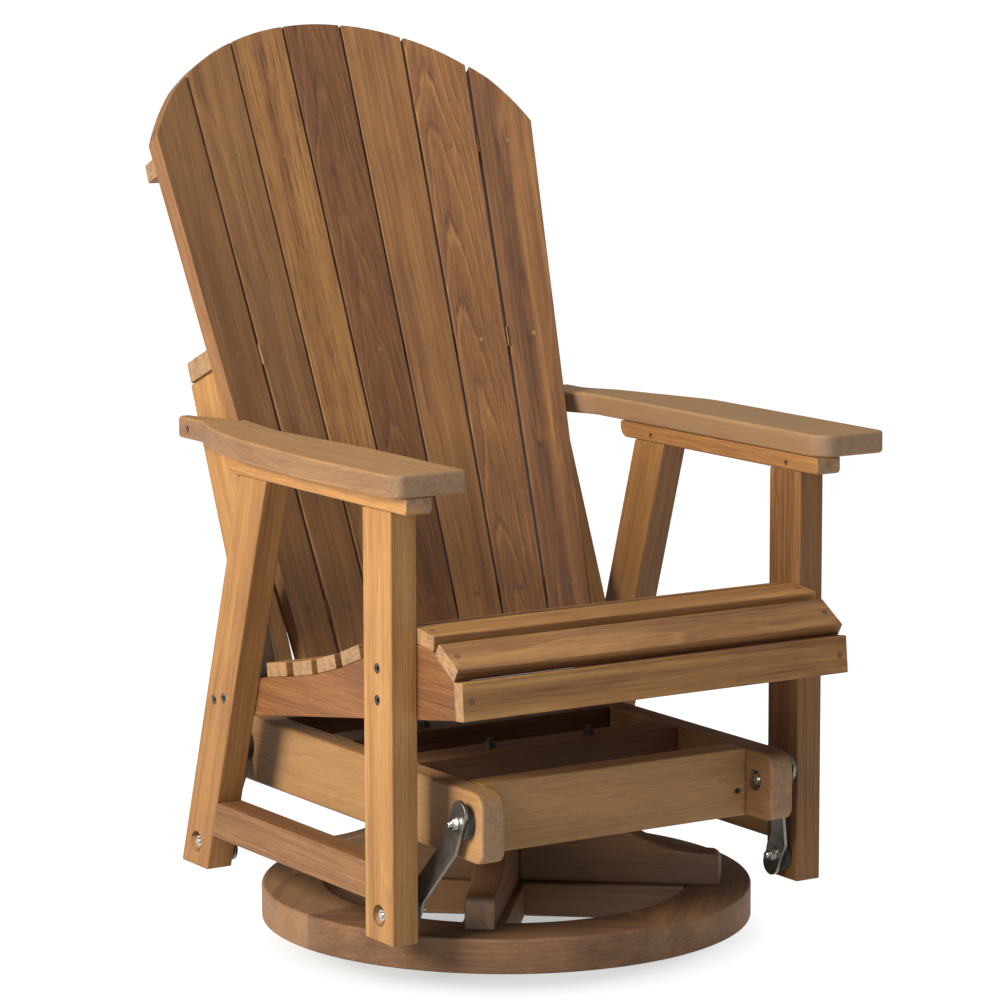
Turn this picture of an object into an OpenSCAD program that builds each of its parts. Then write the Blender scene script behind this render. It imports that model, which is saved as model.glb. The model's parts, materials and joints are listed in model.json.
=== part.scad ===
// Swivel glider chair: a slatted timber chair on four steel links, hung from a frame that turns on a round base.
// Millimetres, +Z up, the chair faces -Y. The origin is on the floor under the middle of the whole box.

/* [Which piece] */
// Node to build, or "all" for the whole chair

/* [Seat] */
// Clear width between the legs of the two sides
seat_width = 537; // [500:1:580]
// Width of a seat slat
seat_slat_wide = 45; // [38:0.5:50]
// Thickness of the seat slats
seat_slat_thick = 18; // [14:0.5:22]
// Width of the rearmost seat slat
rear_slat_wide = 48.5; // [45:0.5:52]
// Spacing of the seat slats, front to back
seat_slat_pitch = 56; // [54:0.5:60]
// Centre of the frontmost flat slat, ahead of the swivel axis
seat_slat_front = 248; // [240:1:256]
// Front end of the seat's hollow, ahead of the swivel axis
seat_hollow_front = 147; // [141:0.1:153]
// Height of the seat's surface there
seat_hollow_high = 397; // [391:0.1:402]
// Slope of the rear of the seat, in degrees
seat_rear_slope = 10.5; // [6:0.5:14]
// Radius of the seat's hollow
seat_hollow_r = 814; // [700:1:1000]
// Radius of the roll over the seat's front
seat_roll_r = 188; // [165:1:210]
// Fall of the seat past its crest, in degrees
seat_front_fall = 6; // [4:0.1:8]
// Width of the slanted slat on the seat's nose
nose_slat_wide = 47; // [42:0.5:49]
// Slope of the seat's nose, in degrees
nose_slope = 31.2; // [28:0.1:34]
// Thickness of the nose slat and of the apron
nose_thick = 17; // [13:0.5:21]

/* [Seat rails] */
// Thickness of a seat rail
rail_thick = 23.5; // [20:0.5:28]
// Height of the seat rails' front ends
rail_nose_high = 44; // [40:0.1:48]
// Upper corner of the rails' front ends, ahead of the swivel axis
rail_nose_front = 313.5; // [306:0.1:320]
// Height of that corner
rail_nose_top = 366.3; // [362:0.1:370]
// Lean of the rails' front ends and the apron, in degrees
rail_nose_lean = 5.6; // [3:0.1:9]
// Slope of the rails' lower edges, in degrees
rail_low_slope = 8.9; // [7:0.1:10]
// Rear ends of the seat rails, behind the swivel axis
rail_rear = 198; // [190:1:205]

/* [Legs and stretchers] */
// Thickness of legs, side stretchers and arm supports
leg_thick = 35; // [30:0.5:40]
// Depth of a leg, square to its length
leg_depth = 62; // [56:0.5:68]
// Height of the legs' feet above the floor
leg_foot = 48.4; // [46:0.1:52]
// Height of the tops of the legs
leg_top = 551.5; // [530:0.5:575]
// Front faces of the front legs, ahead of the swivel axis
leg_front = 235; // [225:1:245]
// Lean of the rear legs, in degrees
leg_lean = 17.5; // [16:0.5:19]
// Front edge of a rear leg at its top, behind the swivel axis
rear_leg_top = 51.5; // [45:0.5:58]
// Underside of the side stretchers
stretcher_low = 93.5; // [90:0.5:100]
// Height of a side stretcher
stretcher_high = 44.5; // [38:0.5:48]

/* [Arms] */
// Thickness of the arm supports
support_thick = 20.5; // [16:0.5:25]
// Front ends of the arm supports, ahead of the swivel axis
support_front = 269; // [262:1:272]
// Rear ends of the arm supports, behind the swivel axis
support_rear = 149.5; // [140:0.5:160]
// Thickness of the armrests
arm_thick = 27; // [22:0.5:32]
// Front ends of the armrests, ahead of the swivel axis
arm_front = 273; // [268:1:280]
// Rear ends of the armrests, behind the swivel axis
arm_rear = 318; // [312:1:322]
// How far the left armrest reaches out past the leg
left_arm_out = 26.5; // [20:0.5:34]
// How far the left armrest reaches in past the leg
left_arm_in = 43.5; // [36:0.5:48]
// Width of the left armrest's neck beside the stile
left_neck = 33; // [28:0.5:38]
// How far the right armrest reaches out past the leg
right_arm_out = 65.5; // [58:0.5:72]
// Width of the right armrest's neck beside the stile
right_neck = 55; // [50:0.5:60]

/* [Back] */
// Lean of the back, in degrees
back_lean = 22.7; // [20:0.1:25]
// Where the back's front surface would meet the floor, ahead of the middle of the rearmost seat slat
back_foot_ahead = 78.1; // [72:0.1:84]
// Radius of the back's hollow
back_hollow_r = 943; // [800:1:1200]
// Thickness of a back slat
back_slat_thick = 20; // [16:0.5:23]
// Gap between two back slats
back_slat_gap = 3; // [2:0.5:5]
// Width taken off the outer edges of the two outermost back slats
back_side_in = 3.5; // [0:0.5:6]
// Growth of the slats' spacing per millimetre up the back
back_fan = 0.0284; // [0.02:0.0002:0.032]
// Lower ends of the back slats, up the back
back_slat_low = 305; // [300:1:315]
// Centre of the circle that cuts the slats' tops, up the back
arch_centre = 822.8; // [810:0.1:836]
// Radius of that circle
arch_r = 337; // [326:0.5:344]
// Centre of the circle that rounds the shoulders, above the centre of the first circle
shoulder_up = 37; // [32:1:60]
// Radius of the circle that rounds the shoulders
shoulder_r = 311; // [306:1:330]
// Rear face of the battens, behind the back's front surface
batten_rear = 52; // [48:0.5:56]
// Reach of the middle batten past the stiles
batten_over = 5; // [2:0.5:8]
// Reach of the upper batten past the middles of the outer slats
batten_up_past = 13; // [12:0.5:20]
// Underside of the upper batten, below the top of the slats
batten_up_below = 187.8; // [178:0.1:198]
// Underside of the middle batten, up the back
batten_mid_low = 709.5; // [700:0.5:720]
// Underside of the lower batten, up the back
batten_low_low = 383; // [375:1:392]
// Height of the upper and lower battens
batten_high = 23; // [18:0.5:27]
// Height of the middle batten
batten_mid_high = 25.5; // [20:0.5:29]
// Width of a stile, side to side
stile_wide = 24; // [20:0.5:28]
// Front edges of the stiles, ahead of the back's front surface
stile_front = 12; // [8:0.5:13]
// Rear edges of the stiles, behind the back's front surface
stile_rear = 59; // [56:0.5:63]
// Lower ends of the stiles, up the back
stile_low = 295; // [290:1:302]

/* [Glider frame] */
// Width over the two glider rails
frame_wide = 439; // [425:1:452]
// Thickness of the glider rails
glide_rail_thick = 32.5; // [28:0.5:36]
// Height of all the glider frame's timbers
glide_rail_high = 83; // [76:0.5:88]
// Length of the glider rails
glide_rail_long = 586; // [570:2:610]
// Thickness of the cross rails
cross_rail_thick = 32; // [28:0.5:36]
// Front faces of the cross rails, from the swivel axis
cross_rail_at = 242; // [236:1:246]
// Width of the two rails that carry the swivel
swivel_rail_wide = 50; // [44:1:56]

/* [Glide] */
// Height of the upper pivots
pivot_up_high = 189.7; // [186:0.1:194]
// Distance of the upper pivots from the swivel axis, front and rear
pivot_up_at = 259; // [255:0.5:262]
// Height of the lower pivots
pivot_low_high = 79.5; // [77:0.1:82]
// Front lower pivots, ahead of the swivel axis
pivot_low_front = 205; // [200:0.5:208]
// Rear lower pivots, behind the swivel axis
pivot_low_rear = 235.6; // [232:0.1:239]
// Width of a link
link_wide = 30; // [26:0.5:32]
// Thickness of a link
link_thick = 4.5; // [3.5:0.1:6]
// Reach of a link past its pivots
link_past = 29; // [25:0.5:30]
// Thickness of an upper spacer disc
disc_up_thick = 9.4; // [8:0.1:11]
// Thickness of a lower spacer disc
disc_low_thick = 8.7; // [8:0.1:11]
// Diameter of the spacer discs
disc_d = 42; // [36:0.5:44]
// Diameter of the pivot bolts
bolt_d = 8; // [6:0.5:9]
// Diameter of the counterbores round the pivot nuts
counterbore_d = 26; // [23:0.5:29]
// Depth of those counterbores
counterbore_deep = 10; // [8:0.5:12]

/* [Base] */
// Outer diameter of the base ring
ring_d = 600; // [560:1:640]
// Width of the ring's timber
ring_wide = 78; // [68:0.5:88]
// Height of the ring
ring_high = 42.1; // [38:0.1:46]
// Turn of the base against the chair, in degrees
base_turn = 5.7; // [0:0.1:45]
// Width of the cross timbers
cross_wide = 36; // [32:0.5:42]
// Height of the cross timbers at the middle
cross_high = 82.9; // [76:0.1:88]
// Height of the cross timbers at their ends
cross_end_high = 40; // [34:0.5:46]
// Width of the two spokes under the cross timbers, inside the ring
spoke_wide = 52; // [44:1:58]
// Reach of the cross timbers from the middle
cross_long = 263; // [252:1:272]
// Radius of the sweep on top of the cross timbers
cross_sweep_r = 200; // [180:1:230]
// Thickness of the two swivel plates
plate_thick = 4; // [3:0.1:5]
// Side of the two swivel plates
plate_side = 190; // [182:1:200]
// Height of the swivel over its two plates
swivel_high = 18.3; // [17:0.1:20]
// Diameter of the swivel's rivet
rivet_d = 28; // [22:1:34]

/* [Hidden] */
$fn = 48;
eps = 0.01;
run_clear = 0.05;
hole_clear = 0.1;
play = 0.3;
glide_slack = 1.45;
nut_af = 13;
nut_high = 6.5;
thread_past = 5;
bolt_past = 2;
cut_past = 5;
screw_head_in = 0.6;
seat_slats = 7;
rear_slat_extra = 6;
back_slats = 7;

leg_in = seat_width / 2;
leg_out = leg_in + leg_thick;
stile_out = leg_in - rail_thick;
stile_in = stile_out - stile_wide;

left_x = leg_out + left_arm_out;
right_x = leg_out + right_arm_out;
apron_out = nose_thick * cos(rail_nose_lean);
seat_front = rail_nose_front + rail_nose_high * sin(rail_nose_lean) + apron_out;
back_foot = -slat_f(seat_slats) - back_foot_ahead;
back_rear = back_foot + (arch_centre + arch_r) * sin(back_lean) + back_slat_thick * cos(back_lean);
batten_up_low = arch_centre + arch_r - batten_up_below;
axis_x = (left_x - right_x) / 2;
axis_y = (seat_front - back_rear) / 2;

teak = "#b5793f";
pale_teak = "#c99659";
dark_teak = "#7d5333";
steel = "#9a9791";
zinc = "#c9c9c6";
black = "#232120";

function unit(v) = v / norm(v);
function turn(d) = d > 180 ? d - 360 : d < -180 ? d + 360 : d;
function flat(p) = [p[0], p[1]];
function arc_step(r) = max(2, min(7.5, 45 / sqrt(r)));
function arc(c, r, a, d) =
    let (n = max(1, ceil(abs(d) / arc_step(r))))
    [for (i = [0 : n]) c + r * [cos(a + d * i / n), sin(a + d * i / n)]];
function corner(a, b, c, r) =
    r <= 0 ? [b] :
    let (u = unit(a - b), v = unit(c - b), half = acos(u * v) / 2)
    let (m = b + unit(u + v) * r / sin(half))
    let (s = b + u * r / tan(half) - m, e = b + v * r / tan(half) - m)
    let (a0 = atan2(s[1], s[0]), a1 = atan2(e[1], e[0]))
    arc(m, r, a0, turn(a1 - a0));
function rounded(p) =
    let (n = len(p))
    [for (i = [0 : n - 1]) each corner(flat(p[(i + n - 1) % n]), flat(p[i]), flat(p[(i + 1) % n]), p[i][2])];

module on_axis() {
    translate([axis_x, axis_y, 0]) children();
}

module side(s) {
    mirror([s < 0 ? 1 : 0, 0, 0]) children();
}

module across(x0, wide) {
    translate([x0, 0, 0]) rotate([90, 0, 90]) linear_extrude(wide) children();
}

module along_x(x, y, z) {
    translate([x, y, z]) rotate([0, 90, 0]) children();
}

module hex(af, high) {
    cylinder(d = af / cos(30), h = high, $fn = 6);
}

module nut(high = nut_high) {
    difference() {
        hex(nut_af, high);
        translate([0, 0, -1]) cylinder(d = bolt_d + 2 * hole_clear, h = high + 2);
    }
}

module screw(long, d, head_d, head_high) {
    difference() {
        union() {
            cylinder(d = head_d, h = head_high);
            translate([0, 0, head_high - eps]) cylinder(d = d, h = long - head_high + eps);
        }
        translate([0, 0, -eps]) hex(head_d * 0.45, head_high * screw_head_in);
    }
}

module screw_hole(long, d, head_d, head_high, sink) {
    translate([0, 0, -sink - 1]) cylinder(d = head_d + 2 * hole_clear, h = head_high + sink + 1);
    cylinder(d = d + 2 * hole_clear, h = long + hole_clear);
}

// Seat surface, by the distance f ahead of the swivel axis
roll_from_slope = 25.6;
hollow_from = seat_hollow_front - seat_hollow_r * (sin(roll_from_slope) - sin(seat_rear_slope));
roll_to = seat_hollow_front + seat_roll_r * (sin(roll_from_slope) + sin(seat_front_fall));
seat_rear_high = seat_hollow_high - seat_hollow_r * (cos(seat_rear_slope) - cos(roll_from_slope));
roll_end_high = seat_hollow_high + seat_roll_r * (cos(seat_front_fall) - cos(roll_from_slope));
function seat_slope(f) =
    f < hollow_from ? seat_rear_slope :
    f < seat_hollow_front ? asin(sin(seat_rear_slope) + (f - hollow_from) / seat_hollow_r) :
    f < roll_to ? asin(sin(roll_from_slope) - (f - seat_hollow_front) / seat_roll_r) :
    -seat_front_fall;
function seat_high(f) =
    f < hollow_from ? seat_rear_high + (f - hollow_from) * tan(seat_rear_slope) :
    f < seat_hollow_front ? seat_rear_high + seat_hollow_r * (cos(seat_rear_slope) - cos(seat_slope(f))) :
    f < roll_to ? seat_hollow_high + seat_roll_r * (cos(seat_slope(f)) - cos(roll_from_slope)) :
    roll_end_high - (f - roll_to) * tan(seat_front_fall);
function slat_f(i) = seat_slat_front - (i - 1) * seat_slat_pitch - (i == seat_slats ? rear_slat_extra : 0);
function slat_wide(i) = i == seat_slats ? rear_slat_wide : seat_slat_wide;

// Lines on which the seat slats lie, each as [y, z, slope]
function bed(i) =
    let (f = slat_f(i), a = seat_slope(f))
    [-f - seat_slat_thick * sin(a), seat_high(f) - seat_slat_thick * cos(a), tan(a)];
function on_bed(b, y) = [y, b[1] - (y - b[0]) * b[2]];
function meet(b, c) = (c[1] - b[1] + c[0] * c[2] - b[0] * b[2]) / (c[2] - b[2]);
bed_margin = 0.5;
function bed_end(i, way) =
    on_bed(bed(i), bed(i)[0] + way * (slat_wide(i) / 2 + bed_margin) * cos(seat_slope(slat_f(i))));

nose_t = [-rail_nose_front, rail_nose_top];
nose_b = nose_t - rail_nose_high * [sin(rail_nose_lean), cos(rail_nose_lean)];
nose_line = [nose_t[0], nose_t[1], -tan(nose_slope)];
nose_n = on_bed(nose_line, meet(bed(1), nose_line));
function rail_low(y) = nose_b[1] - (y - nose_b[0]) * tan(rail_low_slope);
rail_outline = concat(
    [[rail_rear, rail_low(rail_rear)], nose_b, nose_t, nose_n],
    [for (i = [1 : seat_slats]) each i == 1 ? [bed_end(i, 1)] : [bed_end(i, -1), bed_end(i, 1)]],
    [on_bed(bed(seat_slats), rail_rear)]
);

// Back: up the back is z, behind its front surface is y
module in_back() {
    translate([0, back_foot, 0]) rotate([-back_lean, 0, 0]) children();
}
back_ref = 728;
back_side_gap = 14.5;
back_pitch_ref = (seat_width - 2 * back_side_gap) / back_slats;
function pitch(s) = back_pitch_ref + back_fan * (s - back_ref);
function hollow(x) = x * x / (2 * back_hollow_r);
module at_back_slat(k) {
    x = k * pitch(back_ref);
    translate([x, -hollow(x), back_ref]) rotate([0, 0, -asin(x / back_hollow_r)])
        rotate([0, atan(k * back_fan), 0]) children();
}
arch_past = 12;
back_slat_top = arch_centre + arch_r + arch_past;
bed_front = -60;
bed_past = 40;
module back_board(k, less, y0, y1, s0, s1, side_in = 0) {
    left_in = k == -3 ? side_in : 0;
    right_in = k == 3 ? side_in : 0;
    at_back_slat(k) translate([0, y1, 0]) rotate([90, 0, 0]) linear_extrude(y1 - y0)
        polygon([
            [left_in - (pitch(s0) - less) / 2, s0 - back_ref],
            [(pitch(s0) - less) / 2 - right_in, s0 - back_ref],
            [(pitch(s1) - less) / 2 - right_in, s1 - back_ref],
            [left_in - (pitch(s1) - less) / 2, s1 - back_ref],
        ]);
}
module back_beds() {
    for (k = [-3 : 3]) back_board(k, -1, bed_front, back_slat_thick, back_slat_low - bed_past, back_slat_top);
}

// Screws and plugs
plug_d = 7.4;
plug_deep = 6;
slat_screw_d = 4;
slat_screw_head = 7;
slat_screw_head_high = 2.5;
slat_screw_long = 28;
plug_rows = [
    batten_low_low + batten_high / 2,
    batten_mid_low + batten_mid_high / 2,
    batten_up_low + batten_high / 2,
];
slat_plug_x = stile_out + rail_thick / 2;
module at_back_plugs(k) {
    for (s = plug_rows) at_back_slat(k) translate([0, 0, s - back_ref]) rotate([-90, 0, 0]) children();
}
module at_seat_slat(i) {
    f = slat_f(i);
    translate([0, -f, seat_high(f)]) rotate([-seat_slope(f), 0, 0]) children();
}
module at_seat_plugs(i) {
    at_seat_slat(i) for (s = [-1, 1]) translate([s * slat_plug_x, 0, 0]) rotate([180, 0, 0]) children();
}
nose_slat_from = 0.2;
module at_nose() {
    translate([0, nose_t[0], nose_t[1]]) rotate([nose_slope, 0, 0]) children();
}
module at_nose_plugs() {
    at_nose() for (s = [-1, 1]) translate([s * slat_plug_x, nose_slat_from + nose_slat_wide / 2, nose_thick])
        rotate([180, 0, 0]) children();
}
module at_apron() {
    translate([0, nose_b[0], nose_b[1]]) rotate([-rail_nose_lean, 0, 0]) children();
}
module at_apron_plugs() {
    at_apron() for (s = [-1, 1]) translate([s * slat_plug_x, -nose_thick, rail_nose_high / 2])
        rotate([-90, 0, 0]) children();
}
module plug_hole() {
    translate([0, 0, -1]) cylinder(d = plug_d + 2 * hole_clear, h = plug_deep + 1);
    translate([0, 0, plug_deep - eps])
        cylinder(d = slat_screw_head + 2 * hole_clear, h = slat_screw_head_high + hole_clear);
    cylinder(d = slat_screw_d + 2 * hole_clear, h = plug_deep + slat_screw_long + hole_clear);
}
module slat_screw() {
    translate([0, 0, plug_deep + run_clear])
        screw(slat_screw_long, slat_screw_d, slat_screw_head, slat_screw_head_high);
}

rail_bolt_d = 6;
rail_bolt_head = 12.4;
rail_bolt_head_high = 5;
rail_bolt_long = 48;
rail_bolt_sink = 1;
rail_bolt_apart = 36.8;
front_bolt_at = leg_front - leg_depth / 2;
front_bolt_up = 2;
front_bolt_z = [rail_nose_top + front_bolt_up, rail_nose_top + front_bolt_up - rail_bolt_apart];
rear_bolts = [[161.9, 271.6], [186, 266.1]];
module at_rail_bolts(s) {
    side(s) for (p = concat([for (z = front_bolt_z) [-front_bolt_at, z]], rear_bolts))
        translate([leg_out - rail_bolt_sink, p[0], p[1]]) rotate([0, -90, 0]) children();
}
module rail_bolt() {
    screw(rail_bolt_long, rail_bolt_d, rail_bolt_head, rail_bolt_head_high);
}
module rail_bolt_hole() {
    screw_hole(rail_bolt_long, rail_bolt_d, rail_bolt_head, rail_bolt_head_high, rail_bolt_sink);
}

arm_screw_at = [-206.6, 80.7];
arm_screw_tilt = 55;
arm_screw_in = 3;
arm_screw_up = support_thick / 2 - 1;
arm_screw_long = 32;
arm_screw_d = 4;
arm_screw_head = 7;
arm_screw_head_high = 3;
arm_screw_sink = 4;
module at_arm_screws(s) {
    side(s) for (y = arm_screw_at)
        translate([leg_in + arm_screw_in, y, leg_top + arm_screw_up])
            rotate([0, arm_screw_tilt, 0]) children();
}
module arm_screw() {
    screw(arm_screw_long, arm_screw_d, arm_screw_head, arm_screw_head_high);
}
module arm_screw_hole() {
    screw_hole(arm_screw_long, arm_screw_d, arm_screw_head, arm_screw_head_high, arm_screw_sink);
}
neck_screw_high = leg_top + support_thick + 13;
neck_screw_behind = 33.4;
neck_screw_at = back_foot + neck_screw_high * tan(back_lean) + neck_screw_behind;
neck_screw_d = 5;
neck_screw_head = 10;
neck_screw_head_high = 4;
neck_screw_sink = 2;
neck_screw_past = 14;
module at_neck_screw(s, neck) {
    side(s) translate([stile_out + neck - neck_screw_sink, neck_screw_at, neck_screw_high])
        rotate([0, -90, 0]) children();
}
module neck_screw(neck) {
    screw(neck + neck_screw_past, neck_screw_d, neck_screw_head, neck_screw_head_high);
}
module neck_screw_hole(neck) {
    screw_hole(neck + neck_screw_past, neck_screw_d, neck_screw_head, neck_screw_head_high, neck_screw_sink);
}

// Glide
frame_low = ring_high + cross_high + swivel_high;
frame_top = frame_low + glide_rail_high;
frame_out = frame_wide / 2;
frame_in = frame_out - glide_rail_thick;
link_up_x = frame_out + disc_up_thick + play;
link_low_x = leg_in - disc_low_thick - play - link_thick;
function low_pivot(f) = [f > 0 ? -pivot_low_front : pivot_low_rear, pivot_low_high];
function up_pivot(f) = [-f * pivot_up_at, pivot_up_high];
function link_long(f) = norm(low_pivot(f) - up_pivot(f));
function link_tilt(f) =
    let (d = low_pivot(f) - up_pivot(f))
    atan2(d[0], -d[1]);
link_bend_up = 36;
link_bend_low = 23;
module stadium(long, wide, past) {
    translate([-wide / 2, -past + wide / 2]) square([wide, long + 2 * past - wide]);
    for (t = [-past + wide / 2, long + past - wide / 2]) translate([0, t]) circle(d = wide);
}
module link(s, f) {
    long = link_long(f);
    end = link_past + 1;
    low_hole = bolt_d + 2 * (f > 0 ? run_clear : glide_slack);
    side(s) translate([0, up_pivot(f)[0], up_pivot(f)[1]]) rotate([180 + link_tilt(f), 0, 0])
        difference() {
            intersection() {
                across(link_up_x - cut_past, link_low_x - link_up_x + link_thick + 2 * cut_past)
                    stadium(long, link_wide, link_past);
                translate([0, link_wide, 0]) rotate([90, 0, 0]) linear_extrude(2 * link_wide)
                    polygon([
                        [link_up_x, -end],
                        [link_up_x + link_thick, -end],
                        [link_up_x + link_thick, link_bend_up],
                        [link_low_x + link_thick, long - link_bend_low],
                        [link_low_x + link_thick, long + end],
                        [link_low_x, long + end],
                        [link_low_x, long - link_bend_low],
                        [link_up_x, link_bend_up],
                    ]);
            }
            along_x(link_up_x - cut_past, 0, 0)
                cylinder(d = bolt_d + 2 * run_clear, h = link_thick + 2 * cut_past);
            along_x(link_low_x - cut_past, 0, long)
                cylinder(d = low_hole, h = link_thick + 2 * cut_past);
        }
}

up_bolt_from = frame_in + counterbore_deep - nut_high - bolt_past;
up_nut_x = link_up_x + link_thick + play;
up_bolt_to = up_nut_x + nut_high + thread_past;
low_nut_x = link_low_x - play - nut_high;
low_bolt_from = low_nut_x - thread_past;
low_bolt_to = leg_out - counterbore_deep + nut_high + bolt_past;
module at_up_pivots() {
    for (s = [-1, 1]) for (f = [-1, 1]) side(s) translate([0, up_pivot(f)[0], up_pivot(f)[1]]) children();
}
module at_low_pivots() {
    for (s = [-1, 1]) for (f = [-1, 1]) side(s) translate([0, low_pivot(f)[0], low_pivot(f)[1]]) children();
}
module up_bores() {
    at_up_pivots() {
        along_x(frame_in - 1, 0, 0) cylinder(d = counterbore_d, h = counterbore_deep + 1);
        along_x(frame_in, 0, 0) cylinder(d = bolt_d + 2 * hole_clear, h = glide_rail_thick + 1);
    }
}
module low_bores() {
    at_low_pivots() {
        along_x(leg_out - counterbore_deep, 0, 0) cylinder(d = counterbore_d, h = counterbore_deep + 1);
        along_x(leg_in - 1, 0, 0) cylinder(d = bolt_d + 2 * hole_clear, h = leg_thick + 1);
    }
}

// Swivel and base
plate_low = ring_high + cross_high;
plate_r = 12;
swivel_hole = [71, 75];
race_d = 124;
race_wide = 12;
race_high = 5;
ball_gap = 0.2;
rivet_head_d = rivet_d + 12;
rivet_head_high = 3;
swivel_bolt_head_high = 4.5;
swivel_bolt_long = plate_thick + glide_rail_high + nut_high + thread_past;
base_screw_r = ring_d / 2 - ring_wide + 20;
base_screw_apart = 18;
spoke_screw_r = 150;
base_screw_long = 66;
base_screw_d = 5;
base_screw_head = 10;
base_screw_head_high = 4;
base_screw_sink = 6;
plate_screw_r = 110;
plate_screw_long = 34;
plate_screw_d = 5;
plate_screw_head = 9;
plate_screw_head_high = 2.2;
swivel_rail_from = swivel_hole[1] - swivel_rail_wide / 2;
module plate() {
    linear_extrude(plate_thick)
        polygon(rounded([
            for (q = [[-1, -1], [1, -1], [1, 1], [-1, 1]])
                [q[0] * plate_side / 2, q[1] * plate_side / 2, plate_r]
        ]));
}
module at_swivel_holes() {
    for (x = [-1, 1]) for (y = [-1, 1]) translate([x * swivel_hole[0], y * swivel_hole[1], 0]) children();
}
module turned() {
    rotate([0, 0, base_turn]) children();
}
module at_plate_screws() {
    turned() for (a = [45 : 90 : 315]) rotate([0, 0, a])
        translate([plate_screw_r, 0, plate_low + plate_thick + plate_screw_head_high])
            mirror([0, 0, 1]) children();
}
module at_ring_screws() {
    turned() for (a = [45 : 90 : 315]) rotate([0, 0, a]) for (t = [-1, 1])
        translate([base_screw_r, t * base_screw_apart / 2, base_screw_sink]) children();
}
module at_spoke_screws() {
    turned() for (a = [45 : 90 : 315]) rotate([0, 0, a])
        translate([spoke_screw_r, 0, base_screw_sink]) children();
}
module ring_screw() {
    screw(base_screw_long, base_screw_d, base_screw_head, base_screw_head_high);
}
module ring_screw_hole() {
    screw_hole(base_screw_long, base_screw_d, base_screw_head, base_screw_head_high, base_screw_sink);
}
module plate_screw() {
    screw(plate_screw_long, plate_screw_d, plate_screw_head, plate_screw_head_high);
}
module plate_screw_hole() {
    screw_hole(plate_screw_long, plate_screw_d, plate_screw_head, plate_screw_head_high, 2);
}
module ring_segment(a) {
    r1 = ring_d / 2;
    r0 = r1 - ring_wide;
    on_axis() difference() {
        turned() rotate([0, 0, a]) rotate_extrude(angle = 90)
            polygon(rounded([[r0, 0, 2], [r1, 0, 2], [r1, ring_high, 4], [r0, ring_high, 4]]));
        at_ring_screws() ring_screw_hole();
    }
}
cross_end_r = 12;
module cross_outline() {
    top = cross_high;
    sweep_from = cross_long - cross_end_r;
    drop = top - cross_end_high;
    reach = sqrt(pow(cross_sweep_r, 2) - pow(cross_sweep_r - drop, 2));
    n = 14;
    half = concat(
        [[cross_long, 0], [cross_long, cross_end_high - cross_end_r]],
        arc([sweep_from, cross_end_high - cross_end_r], cross_end_r, 0, 90),
        [for (i = [1 : n])
            let (x = reach * i / n)
            [sweep_from - x, cross_end_high + cross_sweep_r - sqrt(pow(cross_sweep_r, 2) - x * x)]]
    );
    m = len(half);
    polygon(concat(half, [for (i = [0 : m - 1]) [-half[m - 1 - i][0], half[m - 1 - i][1]]]));
}
module cross_timber(a, lap_z) {
    on_axis() difference() {
        turned() rotate([0, 0, a]) difference() {
            translate([0, cross_wide / 2, ring_high]) rotate([90, 0, 0])
                linear_extrude(cross_wide) cross_outline();
            translate([-cross_wide / 2, -cross_wide, lap_z])
                cube([cross_wide, 2 * cross_wide, cross_high / 2 + 1]);
        }
        at_ring_screws() ring_screw_hole();
        at_spoke_screws() ring_screw_hole();
        at_plate_screws() plate_screw_hole();
    }
}
module spoke(a, lap_z) {
    on_axis() difference() {
        turned() rotate([0, 0, a]) difference() {
            intersection() {
                translate([-ring_d / 2, -spoke_wide / 2, 0]) cube([ring_d, spoke_wide, ring_high]);
                translate([0, 0, -1]) cylinder(r = ring_d / 2 - ring_wide - play, h = ring_high + 2);
            }
            translate([-spoke_wide / 2 - hole_clear, -spoke_wide, lap_z])
                cube([spoke_wide + 2 * hole_clear, 2 * spoke_wide, ring_high / 2 + 1 + hole_clear]);
        }
        at_spoke_screws() ring_screw_hole();
    }
}

module ring_segment_front_left() color(teak) ring_segment(180);
module ring_segment_front_right() color(teak) ring_segment(270);
module ring_segment_rear_left() color(teak) ring_segment(90);
module ring_segment_rear_right() color(teak) ring_segment(0);
module base_spokes() {
    color(teak) spoke(45, ring_high / 2);
    color(teak) spoke(-45, -1);
}
module lower_cross_timber() color(teak) cross_timber(45, ring_high + cross_high / 2);
module upper_cross_timber() color(teak) cross_timber(-45, ring_high - 1);

module base_screws() {
    color(zinc) on_axis() {
        at_ring_screws() ring_screw();
        at_spoke_screws() ring_screw();
        at_plate_screws() plate_screw();
    }
}

module swivel_lower_plate() {
    color(black) on_axis() difference() {
        union() {
            turned() translate([0, 0, plate_low]) plate();
            translate([0, 0, plate_low]) cylinder(d = rivet_d, h = swivel_high + play);
            translate([0, 0, plate_low + swivel_high + play]) cylinder(d = rivet_head_d, h = rivet_head_high);
            translate([0, 0, plate_low + plate_thick - eps]) difference() {
                cylinder(d = race_d, h = swivel_high - 2 * plate_thick - race_high + eps);
                translate([0, 0, -1]) cylinder(d = race_d - 2 * race_wide, h = swivel_high);
            }
        }
        at_plate_screws() cylinder(d = plate_screw_d + 2 * hole_clear, h = plate_screw_long);
    }
}

module swivel_upper_plate() {
    color(black) on_axis() difference() {
        union() {
            translate([0, 0, frame_low - plate_thick]) plate();
            translate([0, 0, frame_low - plate_thick - race_high + ball_gap]) difference() {
                cylinder(d = race_d, h = race_high);
                translate([0, 0, -1]) cylinder(d = race_d - 2 * race_wide, h = race_high + 2);
            }
        }
        translate([0, 0, plate_low]) cylinder(d = rivet_d + 2 * run_clear, h = swivel_high + 1);
        at_swivel_holes() translate([0, 0, plate_low])
            cylinder(d = bolt_d + 2 * hole_clear, h = swivel_high + 1);
    }
}

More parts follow.
